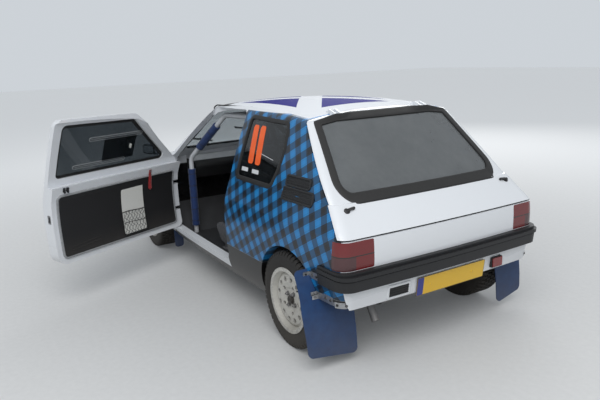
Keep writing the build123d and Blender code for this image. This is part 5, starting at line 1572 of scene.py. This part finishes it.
# %% Gear lever boot and pedals
folds = [(0.056, 0.0)]
for n in range(5):
    low, radius = 0.004 + n * 0.011, 0.057 - n * 0.0085
    folds += [(radius, low), (radius + 0.001, low + 0.004), (radius - 0.006, low + 0.009)]
make("gear_boot_folds", [turned(folds, (0.148, 0, 0.362))], rubber_seal, "body", "black_plastic", crease=35)
# Each pedal: y, half width, z, height
PEDALS = [(-0.262, 0.020, 0.352, 0.090), (-0.350, 0.030, 0.392, 0.058), (-0.436, 0.028, 0.392, 0.058)]
PEDAL_ARM = [(0.004, 0), (0.050, 0.10), (0.095, 0.20), (0.108, 0.26)]
pedal_lean = Matrix.Rotation(0.35, 3, "Y")
pedals = []
for y, half_w, z, high in PEDALS:
    pad = Vector((0.715, y, z))
    pedals.append(block(pad, (0.007, half_w * 2, high), pedal_lean))
    for k in (-1, 0, 1):
        rib_at = pad + Vector((-0.005 - 0.004 * k, 0, k * high * 0.28))
        pedals.append(block(rib_at, (0.003, half_w * 1.7, 0.004), pedal_lean))
    pedals.append(swept([pad + Vector((x, 0, z)) for x, z in PEDAL_ARM], oval(0.009, 0.014, 10)))
make("pedals", pedals, steel, "body", "steel", bevel=0.0006)
print("controls made")

# %% [markdown]
# ## Roll cage padding
# Blue foam sleeves are tied over the front legs of the cage, beside the doors: one on the upright and
# one on the slope under the roof. A sleeve is a thick tube swept along the leg and tied with narrow
# black straps. It has to clear the bend between the two, so it stops short of it on either side.

# %% Padding and ties
pad_blue = mottled("pad_blue", (noise, 38.0, 6.0), rgb(8, 28, 70), rgb(18, 56, 112),
                   dust=(0.8, 0.0, 0.3, 0.03), bump=(0.0012, 0.5), Roughness=0.85, Sheen_Weight=0.2)
TIE = [(0.0308, -0.0024), (0.0322, -0.0020), (0.0322, 0.0020), (0.0308, 0.0024)]
for side, sign in (("left", 1), ("right", -1)):
    leg = [Vector((0.612, sign * 0.580, 0.300 + 0.020 * k)) for k in range(25)]
    slope = [Vector((0.500 - 0.0427 * k * 0.5, sign * (0.5420 - 0.01440 * k * 0.5), 0.967 + 0.0370 * k * 0.5))
             for k in range(11)]
    for label, path in (("leg", leg), ("pillar", slope)):
        foam = make(f"{side}_{label}_padding", [swept(path, oval(0.062, 0.062, 20))], pad_blue, "body",
                    "seat_fabric", crease=60)
    ties = []
    for path in (leg, slope):
        for k in range(2, len(path) - 1, 5):
            ahead = (path[k + 1] - path[k - 1]).normalized()
            ties.append(turned(TIE, path[k], ahead, 24, closed=True))
    make(f"{side}_padding_ties", ties, black_plastic, "body", "black_plastic", crease=60)
print("cage padded")

# %% [markdown]
# ## Front end
# The nose gets the small parts that a rally car needs to be driven and scrutineered: wipers on the
# screen, pins that hold the bonnet down, and rims round the headlamps. They are laid on the CAD faces
# by straight rays from above and from the front.

# %% Wipers
BLADE = [(-0.001, -0.006), (0.001, -0.006), (0.003, 0.004), (-0.003, 0.004)]
wiper_parts, blades = [], []
for foot_y, tip_y in ((-0.30, 0.16), (0.30, 0.62)):
    foot = land(["windscreen", "scuttle", "bonnet"], (0.842, foot_y, ABOVE), (0, 0, -1), 0.006)[0]
    line = []
    for share in [k / 12 for k in range(13)]:
        above = (0.752 - 0.150 * share, foot_y + 0.02 + (tip_y - foot_y) * share * 0.98, ABOVE)
        at, normal = land(["windscreen"], above, (0, 0, -1))
        if at:
            line.append((at, normal))
    facing = [normal for _, normal in line]
    blades.append(swept([p + n * 0.006 for p, n in line], BLADE, facing=facing))
    wiper_parts.append(swept([p + n * 0.014 for p, n in line], oval(0.009, 0.006, 8), facing=facing))
    middle_point, middle_normal = line[len(line) // 2]
    arm = [foot + Vector((0, 0, 0.012)), foot + Vector((-0.030, 0.020, 0.022)),
           (foot + middle_point) / 2 + middle_normal * 0.030, middle_point + middle_normal * 0.019]
    wiper_parts.append(swept(arm, oval(0.012, 0.007, 8)))
    wiper_parts.append(turned([(0.013, -0.012), (0.013, 0.010), (0.009, 0.016), (0, 0.017)], foot, sides=20))
make("wiper_blades", blades, rubber_seal, "body", "black_plastic")
make("wiper_arms", wiper_parts, black_plastic, "body", "black_plastic", crease=50)
print("wipers", len(blades))

# %% Bonnet pins
PIN = [(0.022, -0.0005), (0.022, 0.0015), (0.020, 0.0025), (0.007, 0.0026), (0.007, 0.018), (0, 0.020)]
clip = [Vector((0.010 * cos(tau * k / 24), 0.016 * sin(tau * k / 24) + 0.010, 0.011)) for k in range(24)]
pin_forms = [turned(PIN, sides=28), swept(clip, oval(0.0024, 0.0024, 6), closed=True)]
pins = []
for y in (-0.46, 0.46):
    at, normal = land(["bonnet"], (1.640, y, ABOVE), (0, 0, -1))
    pins += set_on(pin_forms, at_surface(at, normal, (1, 0, 0)))
make("bonnet_pins", pins, steel, "bonnet", "steel", crease=45)
print("bonnet pins made")

# %% Headlamp rims
LAMP_RIM = [(-0.002, -0.001), (-0.001, 0.004), (0.004, 0.005), (0.007, 0.002), (0.007, -0.001)]
for side, sign in (("left", 1), ("right", -1)):
    low_y, high_y = sorted((sign * 0.486, sign * 0.690))
    outline = rectangle(low_y, high_y, 0.582, 0.670, 0.012, 5, 0.03)
    rim_form = strip_ring(outline, "front", LAMP_RIM, ["headlamps"], "headlamps")
    make(f"headlamp_rim_{side}", [rim_form], black_plastic, "body", "black_plastic", crease=50)
print("front end dressed")

# %% [markdown]
# ## Floor and light
# A plain pale floor and soft light show the paint as it is. One large soft lamp gives the shapes
# their shading, and an even sky fills the shadows, so a white panel renders about as white as it is
# written.

# %% Floor, sky and lamps
def background_rays(tree):
    """1 on rays that show the background: straight to the camera, in a reflection or through glass."""
    path = place(tree, "LightPath").outputs
    return either(tree, path["Is Camera Ray"], path["Is Glossy Ray"], path["Is Transmission Ray"])


FLOOR_HALF = 40
floor_mesh = bpy.data.meshes.new("floor")
floor_mesh.from_pydata([(a * FLOOR_HALF, b * FLOOR_HALF, 0) for a, b in ((-1, -1), (1, -1), (1, 1), (-1, 1))],
                       [], [(0, 1, 2, 3)])
floor = bpy.data.objects.new("floor", floor_mesh)
bpy.context.collection.objects.link(floor)
floor_finish, tree, shader = finish("floor_finish", Roughness=0.9)
x, y, z = object_place(tree)
mottle = noise(tree, 30.0, 6.0)
fill(tree, shader.inputs["Base Color"], mixed(tree, mottle, rgb(196, 196, 195), rgb(208, 208, 207)))
far = calc(tree, "SQRT", calc(tree, "ADD", calc(tree, "POWER", x, 2.0), calc(tree, "POWER", y, 2.0)))
fading = calc(tree, "MULTIPLY", step_up(tree, far, 3.2, 8.0), background_rays(tree))
fill(tree, shader.inputs["Emission Color"], rgb(200, 204, 208))
fill(tree, shader.inputs["Emission Strength"], calc(tree, "MULTIPLY", fading, 0.55))
dress(floor, floor_finish)

world = bpy.data.worlds.new("studio_sky")
world.use_nodes = True
bpy.context.scene.world = world
tree = world.node_tree
sky = tree.nodes["Background"]
sky.inputs["Color"].default_value = rgb(226, 232, 238)
seen = background_rays(tree)
fill(tree, sky.inputs["Strength"], calc(tree, "ADD", 0.50, calc(tree, "MULTIPLY", seen, 0.30)))


def soft_lamp(name, at, towards, size, watts):
    """A square area lamp that looks at a point."""
    data = bpy.data.lights.new(name, "AREA")
    data.size = size
    data.energy = watts
    lamp = bpy.data.objects.new(name, data)
    lamp.location = at
    lamp.rotation_euler = (Vector(towards) - Vector(at)).to_track_quat("-Z", "Y").to_euler()
    bpy.context.collection.objects.link(lamp)


soft_lamp("key_lamp", (-5.0, 3.5, 6.5), (0, 0, 0.6), 6.0, 400)
soft_lamp("fill_lamp", (4.5, -5.5, 5.0), (0, 0, 0.6), 6.0, 190)
view = bpy.context.scene.view_settings
view.view_transform = "Standard"
